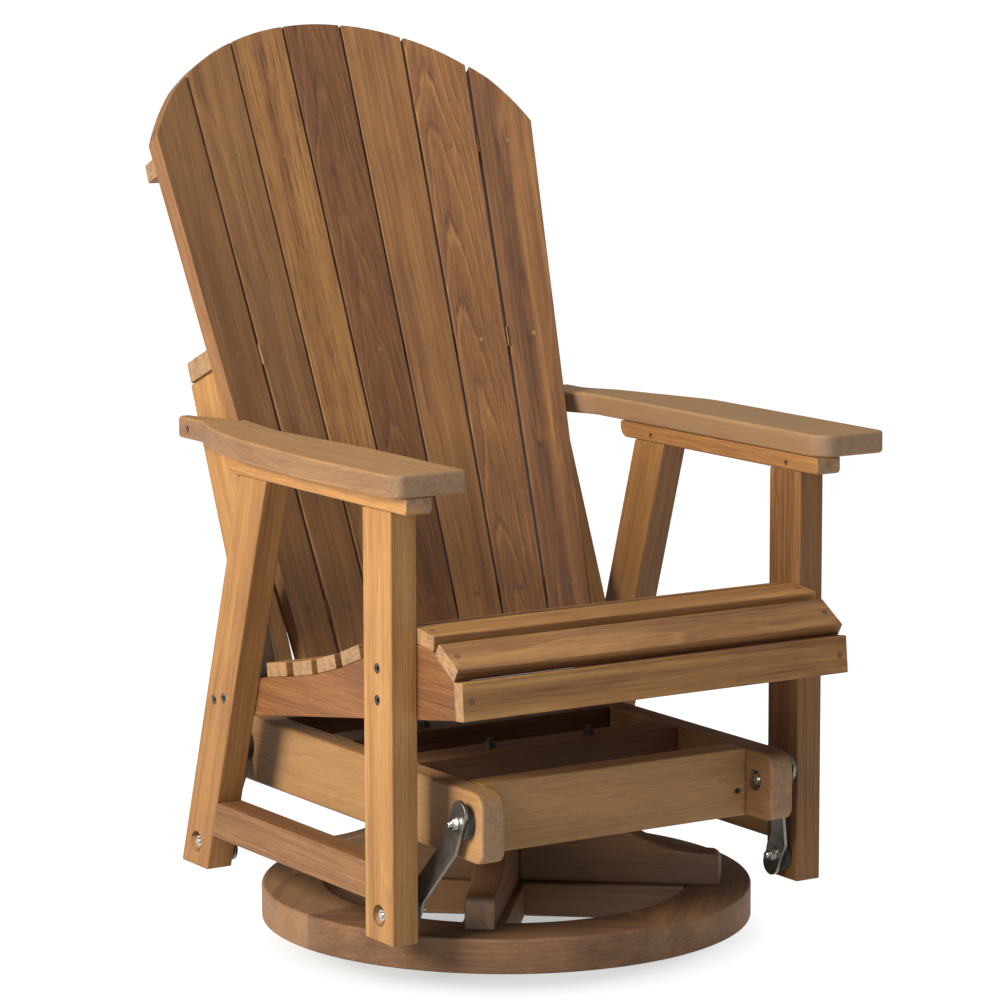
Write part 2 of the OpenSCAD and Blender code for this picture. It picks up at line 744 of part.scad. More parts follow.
module glider_frame_bolts() {
    color(black) on_axis() {
        at_swivel_holes() {
            translate([0, 0, frame_low - plate_thick - swivel_bolt_head_high]) hex(nut_af, swivel_bolt_head_high);
            translate([0, 0, frame_low - plate_thick - eps]) cylinder(d = bolt_d, h = swivel_bolt_long);
            translate([0, 0, frame_top]) nut();
        }
        at_frame_screws() screw(frame_screw_long, frame_screw_d, frame_screw_head, frame_screw_head_high);
    }
}

module swivel_rail(y) {
    on_axis() difference() {
        translate([-frame_in, y, frame_low]) cube([2 * frame_in, swivel_rail_wide, glide_rail_high]);
        at_swivel_holes() translate([0, 0, frame_low - 1])
            cylinder(d = bolt_d + 2 * hole_clear, h = glide_rail_high + 2);
    }
}
module front_swivel_rail() color(dark_teak) swivel_rail(-swivel_rail_from - swivel_rail_wide);
module rear_swivel_rail() color(dark_teak) swivel_rail(swivel_rail_from);

glide_rail_r = [15, 20];
module glider_rail(s) {
    y = glide_rail_long / 2;
    on_axis() difference() {
        side(s) across(frame_in, glide_rail_thick)
            polygon(rounded([
                [-y, frame_low, glide_rail_r[0]], [y, frame_low, glide_rail_r[0]],
                [y, frame_top, glide_rail_r[1]], [-y, frame_top, glide_rail_r[1]],
            ]));
        up_bores();
        at_frame_screws() frame_screw_hole();
    }
}
module left_glider_rail() color(dark_teak) glider_rail(-1);
module right_glider_rail() color(dark_teak) glider_rail(1);

frame_screw_tilt = 55;
frame_screw_at = [-9, -3, 31];
frame_screw_long = 30;
frame_screw_d = 4;
frame_screw_head = 7;
frame_screw_head_high = 3;
frame_screw_sink = 8;
module at_frame_screws() {
    for (s = [-1, 1]) for (f = [-1, 1]) side(s) mirror([0, f > 0 ? 1 : 0, 0])
        translate([frame_in, cross_rail_at, frame_low] + frame_screw_at)
            rotate([90, 0, 0]) rotate([0, frame_screw_tilt, 0]) children();
}
module frame_screw_hole() {
    screw_hole(frame_screw_long, frame_screw_d, frame_screw_head, frame_screw_head_high, frame_screw_sink);
}

module cross_rail(y) {
    on_axis() difference() {
        translate([-frame_in, y, frame_low]) cube([2 * frame_in, cross_rail_thick, glide_rail_high]);
        at_frame_screws() frame_screw_hole();
    }
}
module front_cross_rail() color(dark_teak) cross_rail(-cross_rail_at);
module rear_cross_rail() color(dark_teak) cross_rail(cross_rail_at - cross_rail_thick);

module upper_pivot_bolts() {
    color(zinc) on_axis() at_up_pivots() {
        along_x(up_bolt_from, 0, 0) cylinder(d = bolt_d, h = up_bolt_to - up_bolt_from);
        along_x(frame_in + counterbore_deep - nut_high, 0, 0) nut();
        along_x(up_nut_x, 0, 0) nut();
    }
}

module disc(thick) {
    difference() {
        cylinder(d = disc_d, h = thick);
        translate([0, 0, -1]) cylinder(d = bolt_d + 2 * hole_clear, h = thick + 2);
    }
}
module upper_pivot_discs() {
    color(black) on_axis() at_up_pivots() along_x(frame_out, 0, 0) disc(disc_up_thick);
}

module front_left_link() color(steel) on_axis() link(-1, 1);
module front_right_link() color(steel) on_axis() link(1, 1);
module rear_left_link() color(steel) on_axis() link(-1, -1);
module rear_right_link() color(steel) on_axis() link(1, -1);

module lower_pivot_bolts() {
    color(zinc) on_axis() at_low_pivots() {
        along_x(low_bolt_from, 0, 0) cylinder(d = bolt_d, h = low_bolt_to - low_bolt_from);
        along_x(low_nut_x, 0, 0) nut();
        along_x(leg_out - counterbore_deep, 0, 0) nut();
    }
}
module lower_pivot_discs() {
    color(black) on_axis() at_low_pivots() along_x(leg_in - disc_low_thick, 0, 0) disc(disc_low_thick);
}

module front_leg(s) {
    on_axis() difference() {
        side(s) translate([leg_in, -leg_front, leg_foot]) cube([leg_thick, leg_depth, leg_top - leg_foot]);
        low_bores();
        at_rail_bolts(s) rail_bolt_hole();
    }
}
module left_front_leg() color(pale_teak) front_leg(-1);
module right_front_leg() color(pale_teak) front_leg(1);

function leg_edge(z) = rear_leg_top + (leg_top - z) * tan(leg_lean);
leg_across = leg_depth / cos(leg_lean);
module rear_leg(s) {
    on_axis() difference() {
        side(s) across(leg_in, leg_thick)
            polygon([
                [leg_edge(leg_foot), leg_foot],
                [leg_edge(leg_foot) + leg_across, leg_foot],
                [leg_edge(leg_top) + leg_across, leg_top],
                [leg_edge(leg_top), leg_top],
            ]);
        low_bores();
        at_rail_bolts(s) rail_bolt_hole();
    }
}
module left_rear_leg() color(pale_teak) rear_leg(-1);
module right_rear_leg() color(pale_teak) rear_leg(1);

stretcher_top = stretcher_low + stretcher_high;
module side_stretcher(s) {
    on_axis() side(s) across(leg_in, leg_thick)
        polygon([
            [-leg_front + leg_depth, stretcher_low],
            [leg_edge(stretcher_low), stretcher_low],
            [leg_edge(stretcher_top), stretcher_top],
            [-leg_front + leg_depth, stretcher_top],
        ]);
}
module left_side_stretcher() color(pale_teak) side_stretcher(-1);
module right_side_stretcher() color(pale_teak) side_stretcher(1);

support_top = leg_top + support_thick;
support_r = [6, 14];
module arm_support(s) {
    on_axis() difference() {
        side(s) across(leg_in, leg_thick)
            polygon(rounded([
                [-support_front, leg_top, support_r[0]], [support_rear, leg_top, support_r[1]],
                [support_rear, support_top, 0], [-support_front, support_top, 0],
            ]));
        at_arm_screws(s) arm_screw_hole();
    }
}
module left_arm_support() color(pale_teak) arm_support(-1);
module right_arm_support() color(pale_teak) arm_support(1);

// Armrest outlines, seen from above with x outwards
left_arm_outline = [
    [leg_in - left_arm_in, -arm_front, 5],
    [left_x - 6, -arm_front, 20],
    [left_x, -90, 600],
    [left_x - 9, 85, 260],
    [leg_out - 1, 190, 200],
    [stile_out + left_neck, 258, 60],
    [stile_out + left_neck, arm_rear, 5],
    [stile_out, arm_rear, 0],
    [stile_out, 262, 0],
    [stile_in + 1, 262, 0],
    [leg_in - 29, 130, 160],
    [leg_in - left_arm_in, -60, 300],
];
right_arm_outline = [
    [leg_in + 1.5, -arm_front, 25],
    [right_x, -arm_front, 12],
    [right_x, 85, 160],
    [leg_out + 20, 235, 60],
    [stile_out + right_neck, 275, 40],
    [stile_out + right_neck, arm_rear, 5],
    [stile_out, arm_rear, 0],
    [stile_out, 268, 8],
    [leg_in + 1.5, 215, 60],
];
arm_notch_low = 500;
arm_clear = 0.6;
module armrest(s, outline, neck) {
    on_axis() difference() {
        side(s) translate([0, 0, support_top]) linear_extrude(arm_thick) polygon(rounded(outline));
        in_back() translate([-stile_out, -stile_front, arm_notch_low])
            cube([2 * stile_out, 4 * stile_rear, batten_mid_low - arm_notch_low]);
        in_back() back_board(
            3 * s, back_slat_gap - 2 * arm_clear, -arm_clear, 2 * stile_rear, arm_notch_low, batten_mid_low,
            back_side_in);
        at_arm_screws(s) arm_screw_hole();
        at_neck_screw(s, neck) neck_screw_hole(neck);
    }
}
module left_armrest() color(pale_teak) armrest(-1, left_arm_outline, left_neck);
module right_armrest() color(pale_teak) armrest(1, right_arm_outline, right_neck);

module seat_rail(s) {
    on_axis() difference() {
        side(s) across(stile_out, rail_thick) polygon(rail_outline);
        at_rail_bolts(s) rail_bolt_hole();
        for (i = [1 : seat_slats]) at_seat_plugs(i) plug_hole();
        at_nose_plugs() plug_hole();
        at_apron_plugs() plug_hole();
    }
}
module left_seat_rail() color(teak) seat_rail(-1);
module right_seat_rail() color(teak) seat_rail(1);

module seat_slat(i) {
    color(pale_teak) on_axis() difference() {
        at_seat_slat(i) translate([-leg_in, -slat_wide(i) / 2, -seat_slat_thick])
            cube([seat_width, slat_wide(i), seat_slat_thick]);
        at_seat_plugs(i) plug_hole();
    }
}
module seat_slat_1() seat_slat(1);
module seat_slat_2() seat_slat(2);
module seat_slat_3() seat_slat(3);
module seat_slat_4() seat_slat(4);
module seat_slat_5() seat_slat(5);
module seat_slat_6() seat_slat(6);
module seat_slat_7() seat_slat(7);

module nose_slat() {
    color(pale_teak) on_axis() difference() {
        at_nose() translate([-leg_in, nose_slat_from, 0]) cube([seat_width, nose_slat_wide, nose_thick]);
        at_nose_plugs() plug_hole();
    }
}

module apron() {
    color(teak) on_axis() difference() {
        at_apron() translate([-leg_in, -nose_thick, 0]) cube([seat_width, nose_thick, rail_nose_high]);
        at_apron_plugs() plug_hole();
    }
}

arch_deep = 100;
module arch() {
    translate([0, arch_deep, arch_centre]) rotate([90, 0, 0]) union() {
        intersection() {
            cylinder(r = arch_r, h = 2 * arch_deep, $fn = 96);
            translate([0, shoulder_up, 0]) cylinder(r = shoulder_r, h = 2 * arch_deep, $fn = 96);
        }
        translate([-arch_r, -arch_centre, 0]) cube([2 * arch_r, arch_centre, 2 * arch_deep]);
    }
}
module back_slat(n) {
    k = n - 4;
    color(k % 2 == 0 ? teak : pale_teak) on_axis() in_back() difference() {
        intersection() {
            back_board(k, back_slat_gap, 0, back_slat_thick, back_slat_low, back_slat_top, back_side_in);
            arch();
        }
        at_back_plugs(k) plug_hole();
    }
}
module back_slat_1() back_slat(1);
module back_slat_2() back_slat(2);
module back_slat_3() back_slat(3);
module back_slat_4() back_slat(4);
module back_slat_5() back_slat(5);
module back_slat_6() back_slat(6);
module back_slat_7() back_slat(7);

batten_end_r = 6;
batten_proud = 6;
module batten(s, high, half) {
    front = -hollow(half) + back_slat_thick - batten_proud;
    color(teak) on_axis() in_back() difference() {
        translate([0, 0, s]) linear_extrude(high)
            polygon(rounded([
                [-half, front, 0], [half, front, 0],
                [half, batten_rear, batten_end_r], [-half, batten_rear, batten_end_r],
            ]));
        back_beds();
        for (k = [-3 : 3]) at_back_plugs(k) plug_hole();
    }
}
module upper_back_batten() {
    batten(batten_up_low, batten_high, 3 * pitch(batten_up_low + batten_high / 2) + batten_up_past);
}
module middle_back_batten() batten(batten_mid_low, batten_mid_high, stile_out + batten_over);
module lower_back_batten() batten(batten_low_low, batten_high, stile_in);

module stile(s, neck) {
    on_axis() difference() {
        in_back() difference() {
            side(s) translate([stile_in, -stile_front, stile_low])
                cube([stile_wide, stile_front + stile_rear, batten_mid_low - stile_low]);
            back_beds();
        }
        at_neck_screw(s, neck) neck_screw_hole(neck);
    }
}
module left_stile() color(teak) stile(-1, left_neck);
module right_stile() color(teak) stile(1, right_neck);

module seat_screws() {
    color(black) on_axis() {
        for (s = [-1, 1]) at_rail_bolts(s) rail_bolt();
        for (s = [-1, 1]) at_arm_screws(s) arm_screw();
        at_neck_screw(-1, left_neck) neck_screw(left_neck);
        at_neck_screw(1, right_neck) neck_screw(right_neck);
        for (i = [1 : seat_slats]) at_seat_plugs(i) slat_screw();
        at_nose_plugs() slat_screw();
        at_apron_plugs() slat_screw();
        in_back() for (k = [-3 : 3]) at_back_plugs(k) slat_screw();
    }
}

module wood_plugs() {
    color(dark_teak) on_axis() {
        for (i = [1 : seat_slats]) at_seat_plugs(i) cylinder(d = plug_d, h = plug_deep);
        at_nose_plugs() cylinder(d = plug_d, h = plug_deep);
        at_apron_plugs() cylinder(d = plug_d, h = plug_deep);
        in_back() for (k = [-3 : 3]) at_back_plugs(k) cylinder(d = plug_d, h = plug_deep);
    }
}

ring_segment_front_left();
ring_segment_front_right();
ring_segment_rear_left();
ring_segment_rear_right();
base_spokes();
lower_cross_timber();
upper_cross_timber();
base_screws();
swivel_lower_plate();
swivel_upper_plate();
glider_frame_bolts();
front_swivel_rail();
rear_swivel_rail();
left_glider_rail();
right_glider_rail();
front_cross_rail();
rear_cross_rail();
upper_pivot_bolts();
upper_pivot_discs();
front_left_link();
front_right_link();
rear_left_link();
rear_right_link();
lower_pivot_bolts();
lower_pivot_discs();
left_front_leg();
right_front_leg();
left_rear_leg();
right_rear_leg();
left_side_stretcher();
right_side_stretcher();
left_arm_support();
right_arm_support();
left_armrest();
right_armrest();
left_seat_rail();
right_seat_rail();
seat_slat_1();
seat_slat_2();
seat_slat_3();
seat_slat_4();
seat_slat_5();
seat_slat_6();
seat_slat_7();
nose_slat();
apron();
back_slat_1();
back_slat_2();
back_slat_3();
back_slat_4();
back_slat_5();
back_slat_6();
back_slat_7();
upper_back_batten();
middle_back_batten();
lower_back_batten();
left_stile();
right_stile();
seat_screws();
wood_plugs();
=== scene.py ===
import json
import math
import random

import bmesh
import bpy
from mathutils import Matrix, Vector


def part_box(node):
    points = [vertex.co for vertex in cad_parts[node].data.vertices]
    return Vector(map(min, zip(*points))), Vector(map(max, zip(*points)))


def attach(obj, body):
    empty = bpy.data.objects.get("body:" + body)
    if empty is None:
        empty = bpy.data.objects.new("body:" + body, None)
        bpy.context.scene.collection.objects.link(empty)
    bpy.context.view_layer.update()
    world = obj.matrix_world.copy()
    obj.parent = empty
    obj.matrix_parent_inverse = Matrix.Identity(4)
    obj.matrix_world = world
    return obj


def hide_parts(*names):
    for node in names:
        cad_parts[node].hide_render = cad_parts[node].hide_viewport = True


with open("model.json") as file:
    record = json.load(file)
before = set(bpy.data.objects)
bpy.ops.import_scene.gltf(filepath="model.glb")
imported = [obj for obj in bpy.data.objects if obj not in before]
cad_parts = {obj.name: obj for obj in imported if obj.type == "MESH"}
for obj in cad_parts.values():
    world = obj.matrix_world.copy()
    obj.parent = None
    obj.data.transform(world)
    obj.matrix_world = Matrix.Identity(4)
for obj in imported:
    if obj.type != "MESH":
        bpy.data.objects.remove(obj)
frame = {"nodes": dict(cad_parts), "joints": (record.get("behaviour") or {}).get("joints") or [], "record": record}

bl_info = {
    "name": "Swivel glider chair",
    "version": (1, 0, 0),
    "blender": (4, 5, 0),
    "location": "3D View > Sidebar > Chair",
    "description": "Dresses the timber, the steel and the studio of a swivel glider chair",
    "category": "Object",
}

MM = 0.001
X, Y, Z = Vector((1, 0, 0)), Vector((0, 1, 0)), Vector((0, 0, 1))
NODES = frame["nodes"]
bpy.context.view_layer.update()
BODY_OF = {node: body for body, group in frame["record"]["behaviour"]["bodies"].items() for node in group}
SLOT_OF = {part["node"]: part["material_slot"] for part in frame["record"]["subparts"]}
SWIVEL = Vector(next(joint["pos_m"] for joint in frame["joints"] if joint["name"] == "swivel"))
SIDES = ("left", "right")
SHARP = math.radians(32)


def tint(name, description, code):
    """A setting that holds a colour as its sRGB hex code."""
    return bpy.props.StringProperty(name=name, description=description, default=code)


def number(name, description, value):
    """A setting that holds a plain number."""
    return bpy.props.FloatProperty(name=name, description=description, default=value)


def length(name, description, mm):
    """A setting that holds a length, which is given here in mm."""
    return bpy.props.FloatProperty(name=name, description=description, default=mm * MM, subtype="DISTANCE")


class ChairTimber(bpy.types.PropertyGroup):
    """Colours and eased edges of the teak"""

    pale: tint("Pale teak", "Lightest sanded grain", "#A47C48")
    golden: tint("Golden teak", "Usual sanded grain", "#875F35")
    brown: tint("Brown teak", "Darker heartwood", "#684527")
    umber: tint("Dark streaks", "Mineral streaks", "#45291A")
    pore: tint("Pores", "Open pores in the grain", "#3A2314")
    bare: tint("Bare teak", "Greyed, dry surface", "#7A6450")
    ring: number("Ring spacing", "Between growth rings, in mm", 5.5)
    slat_edge: length("Slat edges", "Radius of the slats' eased edges", 1.6)
    back_edge: length("Back edges", "Radius of the back slats' eased edges", 1.1)
    frame_edge: length("Frame edges", "Radius of the legs' and rails' edges", 2.2)
    arm_edge: length("Arm edges", "Radius of the armrests' edges", 4.0)
    base_edge: length("Base edges", "Radius of the base timbers' edges", 2.6)
    plug_deep: length("Plug depth", "How deep a wood plug sits in its slat", 4)


class ChairMetal(bpy.types.PropertyGroup):
    """Colours and sizes of the steel parts"""

    link: tint("Links", "Brushed steel of the links", "#8E8A84")
    zinc: tint("Zinc", "Nuts and bolts of the pivots", "#C9C8C4")
    black: tint("Black oxide", "Swivel bolts and leg bolts", "#2A2826")
    paint: tint("Black paint", "Plates of the swivel", "#1B1B1C")
    nylon: tint("Black nylon", "Spacer discs", "#1A1817")
    link_edge: length("Link edges", "Radius of the links' edges", 0.8)
    nut_wide: length("Nut width", "Across the nuts' flats", 13)
    nut_washer: length("Nut washer", "Width of the washer under a nut", 17)
    bolt_wide: length("Bolt width", "Across the bolts' threads", 8)
    bolt_bore: length("Bolt bore", "Width of the nuts' and washers' holes", 8.1)
    sunk_washer: length("Sunk washer", "Width of the black washers in the counterbores", 24)
    sunk_thick: length("Sunk washer thickness", "Of the black washers in the counterbores", 1.2)
    thread_pitch: length("Thread pitch", "Rise of the thread in one turn", 1.25)


class ChairStage(bpy.types.PropertyGroup):
    """Studio light and floor"""

    key_power: number("Key light", "Power of the light on the left", 108.0)
    top_power: number("Top light", "Power of the light above", 52.0)
    glint_power: number("Glint light", "Power of the light that only the metal mirrors", 60.0)
    air: number("Air", "Brightness of the white room", 0.23)
    floor: tint("Floor", "Colour of the floor", "#626262")
    # The floor's glow at the middle of its painted contact shadow
    floor_glow: number("Floor glow", "Light of the white floor under the chair", 0.45)


def linear(code):
    """A colour from its sRGB hex code, in the linear values that a shader takes."""
    parts = [int(code[i:i + 2], 16) / 255 for i in (1, 3, 5)]
    return [c / 12.92 if c <= 0.04045 else ((c + 0.055) / 1.055) ** 2.4 for c in parts] + [1.0]


def add(tree, kind, settings=None, out=0, stops=()):
    """Adds a node and gives one of its outputs.

    Each setting is a property of the node, the constant of an input or the socket that feeds an input; stops
    are the places and colours on a ramp."""
    node = tree.nodes.new(kind)
    for key, value in (settings or {}).items():
        if isinstance(value, bpy.types.NodeSocket):
            tree.links.new(value, node.inputs[key])
        elif isinstance(key, str) and key in node.bl_rna.properties:
            setattr(node, key, value)
        else:
            node.inputs[key].default_value = value
    if stops:
        elements = node.color_ramp.elements
        while len(elements) < len(stops):
            elements.new(0.5)
        for element, (place, colour) in zip(elements, stops):
            element.position = place
            element.color = colour
    return node.outputs[out] if node.outputs else None


def weighed(tree, *parts, start=0.0):
    """The sum of start and some values, each by its weight."""
    for value, weight in parts:
        start = add(tree, "ShaderNodeMath", {"operation": "MULTIPLY_ADD", 0: value, 1: weight, 2: start})
    return start


def grain_marks(tree, grain, along, wide, deep=None, detail=2.0, rough=0.5, out="Fac"):
    """Marks along mm long and wide mm across, on the board's own grain."""
    size = (1 / along, 1 / wide, 1 / (deep or wide))
    place = add(tree, "ShaderNodeVectorMath", {"operation": "MULTIPLY", 0: grain, 1: size})
    return add(tree, "ShaderNodeTexNoise",
               {"Vector": place, "Scale": 1.0, "Detail": detail, "Roughness": rough}, out)


def bare_material(name):
    """A new material with an empty node tree."""
    material = bpy.data.materials.new(name)
    material.use_nodes = True
    material.node_tree.nodes.clear()
    return material, material.node_tree


def surface(tree, settings, relief, strength, deep):
    """Ends a material in its shader, with fine relief that is deep mm where relief is full."""
    bump = add(tree, "ShaderNodeBump", {"Strength": strength, "Distance": deep * MM, "Height": relief})
    skin = add(tree, "ShaderNodeBsdfPrincipled", {**settings, "Normal": bump})
    add(tree, "ShaderNodeOutputMaterial", {"Surface": skin})


def teak(name, tones, bands=1.0, rings=1.0, fibres=1.0, grey=0.0, roughness=0.55, sides=0.0):
    """Sanded teak: streaky golden brown with fine open pores, growth rings and a soft dull sheen.

    bands, rings and fibres weigh these marks, grey dries the whole and sides darkens its upright faces with
    painted shade."""
    wood = bpy.context.scene.chair_timber
    material, tree = bare_material(name)
    grain, stain, marks, fibre_way = [add(tree, "ShaderNodeAttribute", {"attribute_name": kind}, "Vector")
                                      for kind in ("grain", "stain", "marks", "fibre")]
    tone, red, dry = add(tree, "ShaderNodeSeparateXYZ", {0: stain}).node.outputs
    dashed, ringed, banded = add(tree, "ShaderNodeSeparateXYZ", {0: marks}).node.outputs

    # Slow waves bend the growth rings, which run round a pith beside the board
    wave = grain_marks(tree, grain, 260, 55, detail=1.0, out="Color")
    bent = add(tree, "ShaderNodeVectorMath", {"operation": "MULTIPLY_ADD", 0: wave, 1: (0, 18, 18), 2: grain})
    flat = add(tree, "ShaderNodeVectorMath", {"operation": "MULTIPLY", 0: bent, 1: (0, 1, 1)})
    radius = add(tree, "ShaderNodeVectorMath", {"operation": "LENGTH", 0: flat}, "Value")
    phase = weighed(tree, (radius, 1 / wood.ring), (grain_marks(tree, grain, 50, 3), 0.35))
    phase = add(tree, "ShaderNodeMath", {"operation": "FRACT", 0: phase})
    shades = ((0.0, 0.5), (0.06, 0.16), (0.16, 0.45), (0.75, 0.5), (0.92, 0.8), (1.0, 0.5))
    line = add(tree, "ShaderNodeValToRGB", {"Fac": phase},
               stops=[(place, (shade, shade, shade, 1)) for place, shade in shades])
    patch = grain_marks(tree, grain, 180, 20, detail=1.0)
    clear = weighed(tree, (patch, weighed(tree, (ringed, 2.0), start=2.0 * rings)))
    line = weighed(tree, (weighed(tree, (line, 1.0), start=-0.5), clear))

    band = grain_marks(tree, grain, 700, 20, 30, detail=1.5, rough=0.4)
    streak = grain_marks(tree, grain, 300, 4.0)
    fibre = grain_marks(tree, grain, 70, 1.3, detail=3.0, rough=0.6)
    cloud = grain_marks(tree, grain, 130, 60)
    dash = grain_marks(tree, grain, 55, 2.6, rough=0.6)
    dash = add(tree, "ShaderNodeMapRange", {"Value": dash, "From Min": 0.5, "From Max": 0.68})
    pore = grain_marks(tree, grain, 22, 0.9, rough=0.7)
    pore = add(tree, "ShaderNodeMapRange", {"Value": pore, "From Min": 0.54, "From Max": 0.72})
    value = weighed(tree, (tone, 1.0), start=0.5)
    strength = weighed(tree, (banded, 0.85), start=0.85 * bands)
    for part, weight in ((band, strength), (streak, 0.42 * fibres), (fibre, 0.6 * fibres), (cloud, 0.24)):
        value = weighed(tree, (weighed(tree, (part, 1.0), start=-0.5), weight), start=value)
    facing = add(tree, "ShaderNodeTexCoord", out="Normal")
    level = add(tree, "ShaderNodeVectorMath", {"operation": "DOT_PRODUCT", 0: facing, 1: (0, 0, 1)}, "Value")
    level = add(tree, "ShaderNodeMath", {"operation": "ABSOLUTE", 0: level})
    # Painted shade: upright faces darken by how they face, as far as sides asks
    upright = weighed(tree, (level, -1.0), start=1.0)
    dark = weighed(tree, (dash, dashed))
    value = weighed(tree, (line, 0.3), (upright, -sides), (dark, -1.0), start=value)
    colour = add(tree, "ShaderNodeValToRGB", {"Fac": value},
                 stops=[(place, linear(code)) for place, code in zip((0.0, 0.3, 0.6, 1.0), tones)])

    # Open pores are short dark dashes along the grain
    colour = add(tree, "ShaderNodeMix", {"data_type": "RGBA", 0: weighed(tree, (pore, 0.36)), 6: colour,
                                         7: linear(wood.pore)}, 2)
    colour = add(tree, "ShaderNodeMix", {"data_type": "RGBA", "blend_type": "MULTIPLY", 0: red, 6: colour,
                                         7: (1.12, 0.86, 0.72, 1)}, 2)

    # Saw-cut ends show short rough pores and drink the light
    square = add(tree, "ShaderNodeVectorMath", {"operation": "DOT_PRODUCT", 0: facing, 1: fibre_way}, "Value")
    square = add(tree, "ShaderNodeMath", {"operation": "ABSOLUTE", 0: square})
    end = add(tree, "ShaderNodeMapRange", {"Value": square, "From Min": 0.62, "From Max": 0.85})
    pits = grain_marks(tree, grain, 1.6, 1.6, detail=3.0, rough=0.7)
    mottle = grain_marks(tree, grain, 11, 9)
    rough = weighed(tree, (pits, 0.7), (mottle, 0.7), (line, 0.5))
    cut = add(tree, "ShaderNodeValToRGB", {"Fac": rough}, stops=[
        (0.3, linear(wood.umber)), (0.62, linear(wood.bare)), (1.0, linear(wood.pale))])
    colour = add(tree, "ShaderNodeMix", {"data_type": "RGBA", 0: weighed(tree, (end, 0.8)), 6: colour,
                                         7: cut}, 2)

    # Handled and weathered skin is greyer, in clouds
    worn = weighed(tree, (weighed(tree, (dry, 1.0), start=grey), weighed(tree, (cloud, 0.9), start=0.45)))
    colour = add(tree, "ShaderNodeMix", {"data_type": "RGBA", 0: worn, 6: colour, 7: linear(wood.bare)}, 2)
    shine = add(tree, "ShaderNodeMapRange",
                {"Value": fibre, "To Min": roughness - 0.08, "To Max": roughness + 0.12})
    surface(tree, {"IOR": 1.42, "Specular IOR Level": 0.35, "Base Color": colour, "Roughness": shine},
            weighed(tree, (fibre, 0.6), (pore, -0.5)), 0.45, 0.2)
    return material


def dowel(name, tones):
    """End grain of a glued plug: pitted, each in its own tone, darker in the seat, with a dark rim."""
    material, tree = bare_material(name)
    place = add(tree, "ShaderNodeTexCoord", out="Object")
    pits = add(tree, "ShaderNodeTexNoise", {"Vector": place, "Scale": 1 / (1.11 * MM), "Detail": 2.0})
    tone = add(tree, "ShaderNodeTexNoise", {"Vector": place, "Scale": 1 / (71.4 * MM), "Detail": 0.0})
    height = add(tree, "ShaderNodeSeparateXYZ", {0: place}, "Z")
    shift = add(tree, "ShaderNodeMapRange", {"Value": height, "From Min": 0.4, "From Max": 0.46,
                                             "To Min": -0.42, "To Max": -0.12})
    value = weighed(tree, (tone, 0.9), (pits, 0.5), (shift, 1.0))
    colour = add(tree, "ShaderNodeValToRGB", {"Fac": value},
                 stops=[(stop, linear(code)) for stop, code in zip((0.0, 0.35, 0.8), tones)])
    core = add(tree, "ShaderNodeAttribute", {"attribute_name": "core"}, "Fac")
    rim = add(tree, "ShaderNodeMapRange", {"Value": core, "From Min": 0.72, "From Max": 0.95})
    colour = add(tree, "ShaderNodeMix", {"data_type": "RGBA", 0: weighed(tree, (rim, 0.8)), 6: colour,
                                         7: linear(tones[0])}, 2)
    surface(tree, {"IOR": 1.42, "Roughness": 0.65, "Base Color": colour}, pits, 0.5, 0.2)
    return material


def steel(name, code, roughness, brush=(1.11, 1.11, 1.11), wear=0.5):
    """Bare or plated steel: clean metal with smudges and the brush's fine marks, brush mm long each way."""
    material, tree = bare_material(name)
    place = add(tree, "ShaderNodeTexCoord", out="Object")
    stretch = [1 / (size * MM) for size in brush]
    brushed = add(tree, "ShaderNodeVectorMath", {"operation": "MULTIPLY", 0: place, 1: stretch})
    scratches = add(tree, "ShaderNodeTexNoise", {"Vector": brushed, "Scale": 1.0, "Detail": 3.0})
    smudge = add(tree, "ShaderNodeTexNoise", {"Vector": place, "Scale": 1 / (11.1 * MM), "Detail": 3.0})
    worn = [c * (1 - wear) for c in linear(code)[:3]] + [1]
    colour = add(tree, "ShaderNodeValToRGB", {"Fac": weighed(tree, (scratches, 0.45), (smudge, 0.55))},
                 stops=[(0.3, worn), (0.65, linear(code))])
    shine = add(tree, "ShaderNodeMapRange",
                {"Value": scratches, "To Min": roughness - 0.08, "To Max": roughness + 0.14})
    surface(tree, {"Metallic": 1.0, "Base Color": colour, "Roughness": shine}, scratches, 0.3, 0.05)
    return material


def coating(name, code, roughness, grit):
    """A dull black skin, painted, oxidised or moulded, with grit of that many mm and dusty clouds."""
    material, tree = bare_material(name)
    place = add(tree, "ShaderNodeTexCoord", out="Object")
    fine = add(tree, "ShaderNodeTexNoise", {"Vector": place, "Scale": 1 / (grit * MM), "Detail": 2.0})
    dust = add(tree, "ShaderNodeTexNoise", {"Vector": place, "Scale": 1 / (22.2 * MM), "Detail": 4.0})
    dusty = [0.6 * c + 0.05 for c in linear(code)[:3]] + [1]
    colour = add(tree, "ShaderNodeValToRGB", {"Fac": dust}, stops=[(0.45, linear(code)), (0.8, dusty)])
    shine = add(tree, "ShaderNodeMapRange",
                {"Value": dust, "To Min": roughness - 0.1, "To Max": roughness + 0.1})
    surface(tree, {"Base Color": colour, "Roughness": shine}, fine, 0.4, 0.06)
    return material


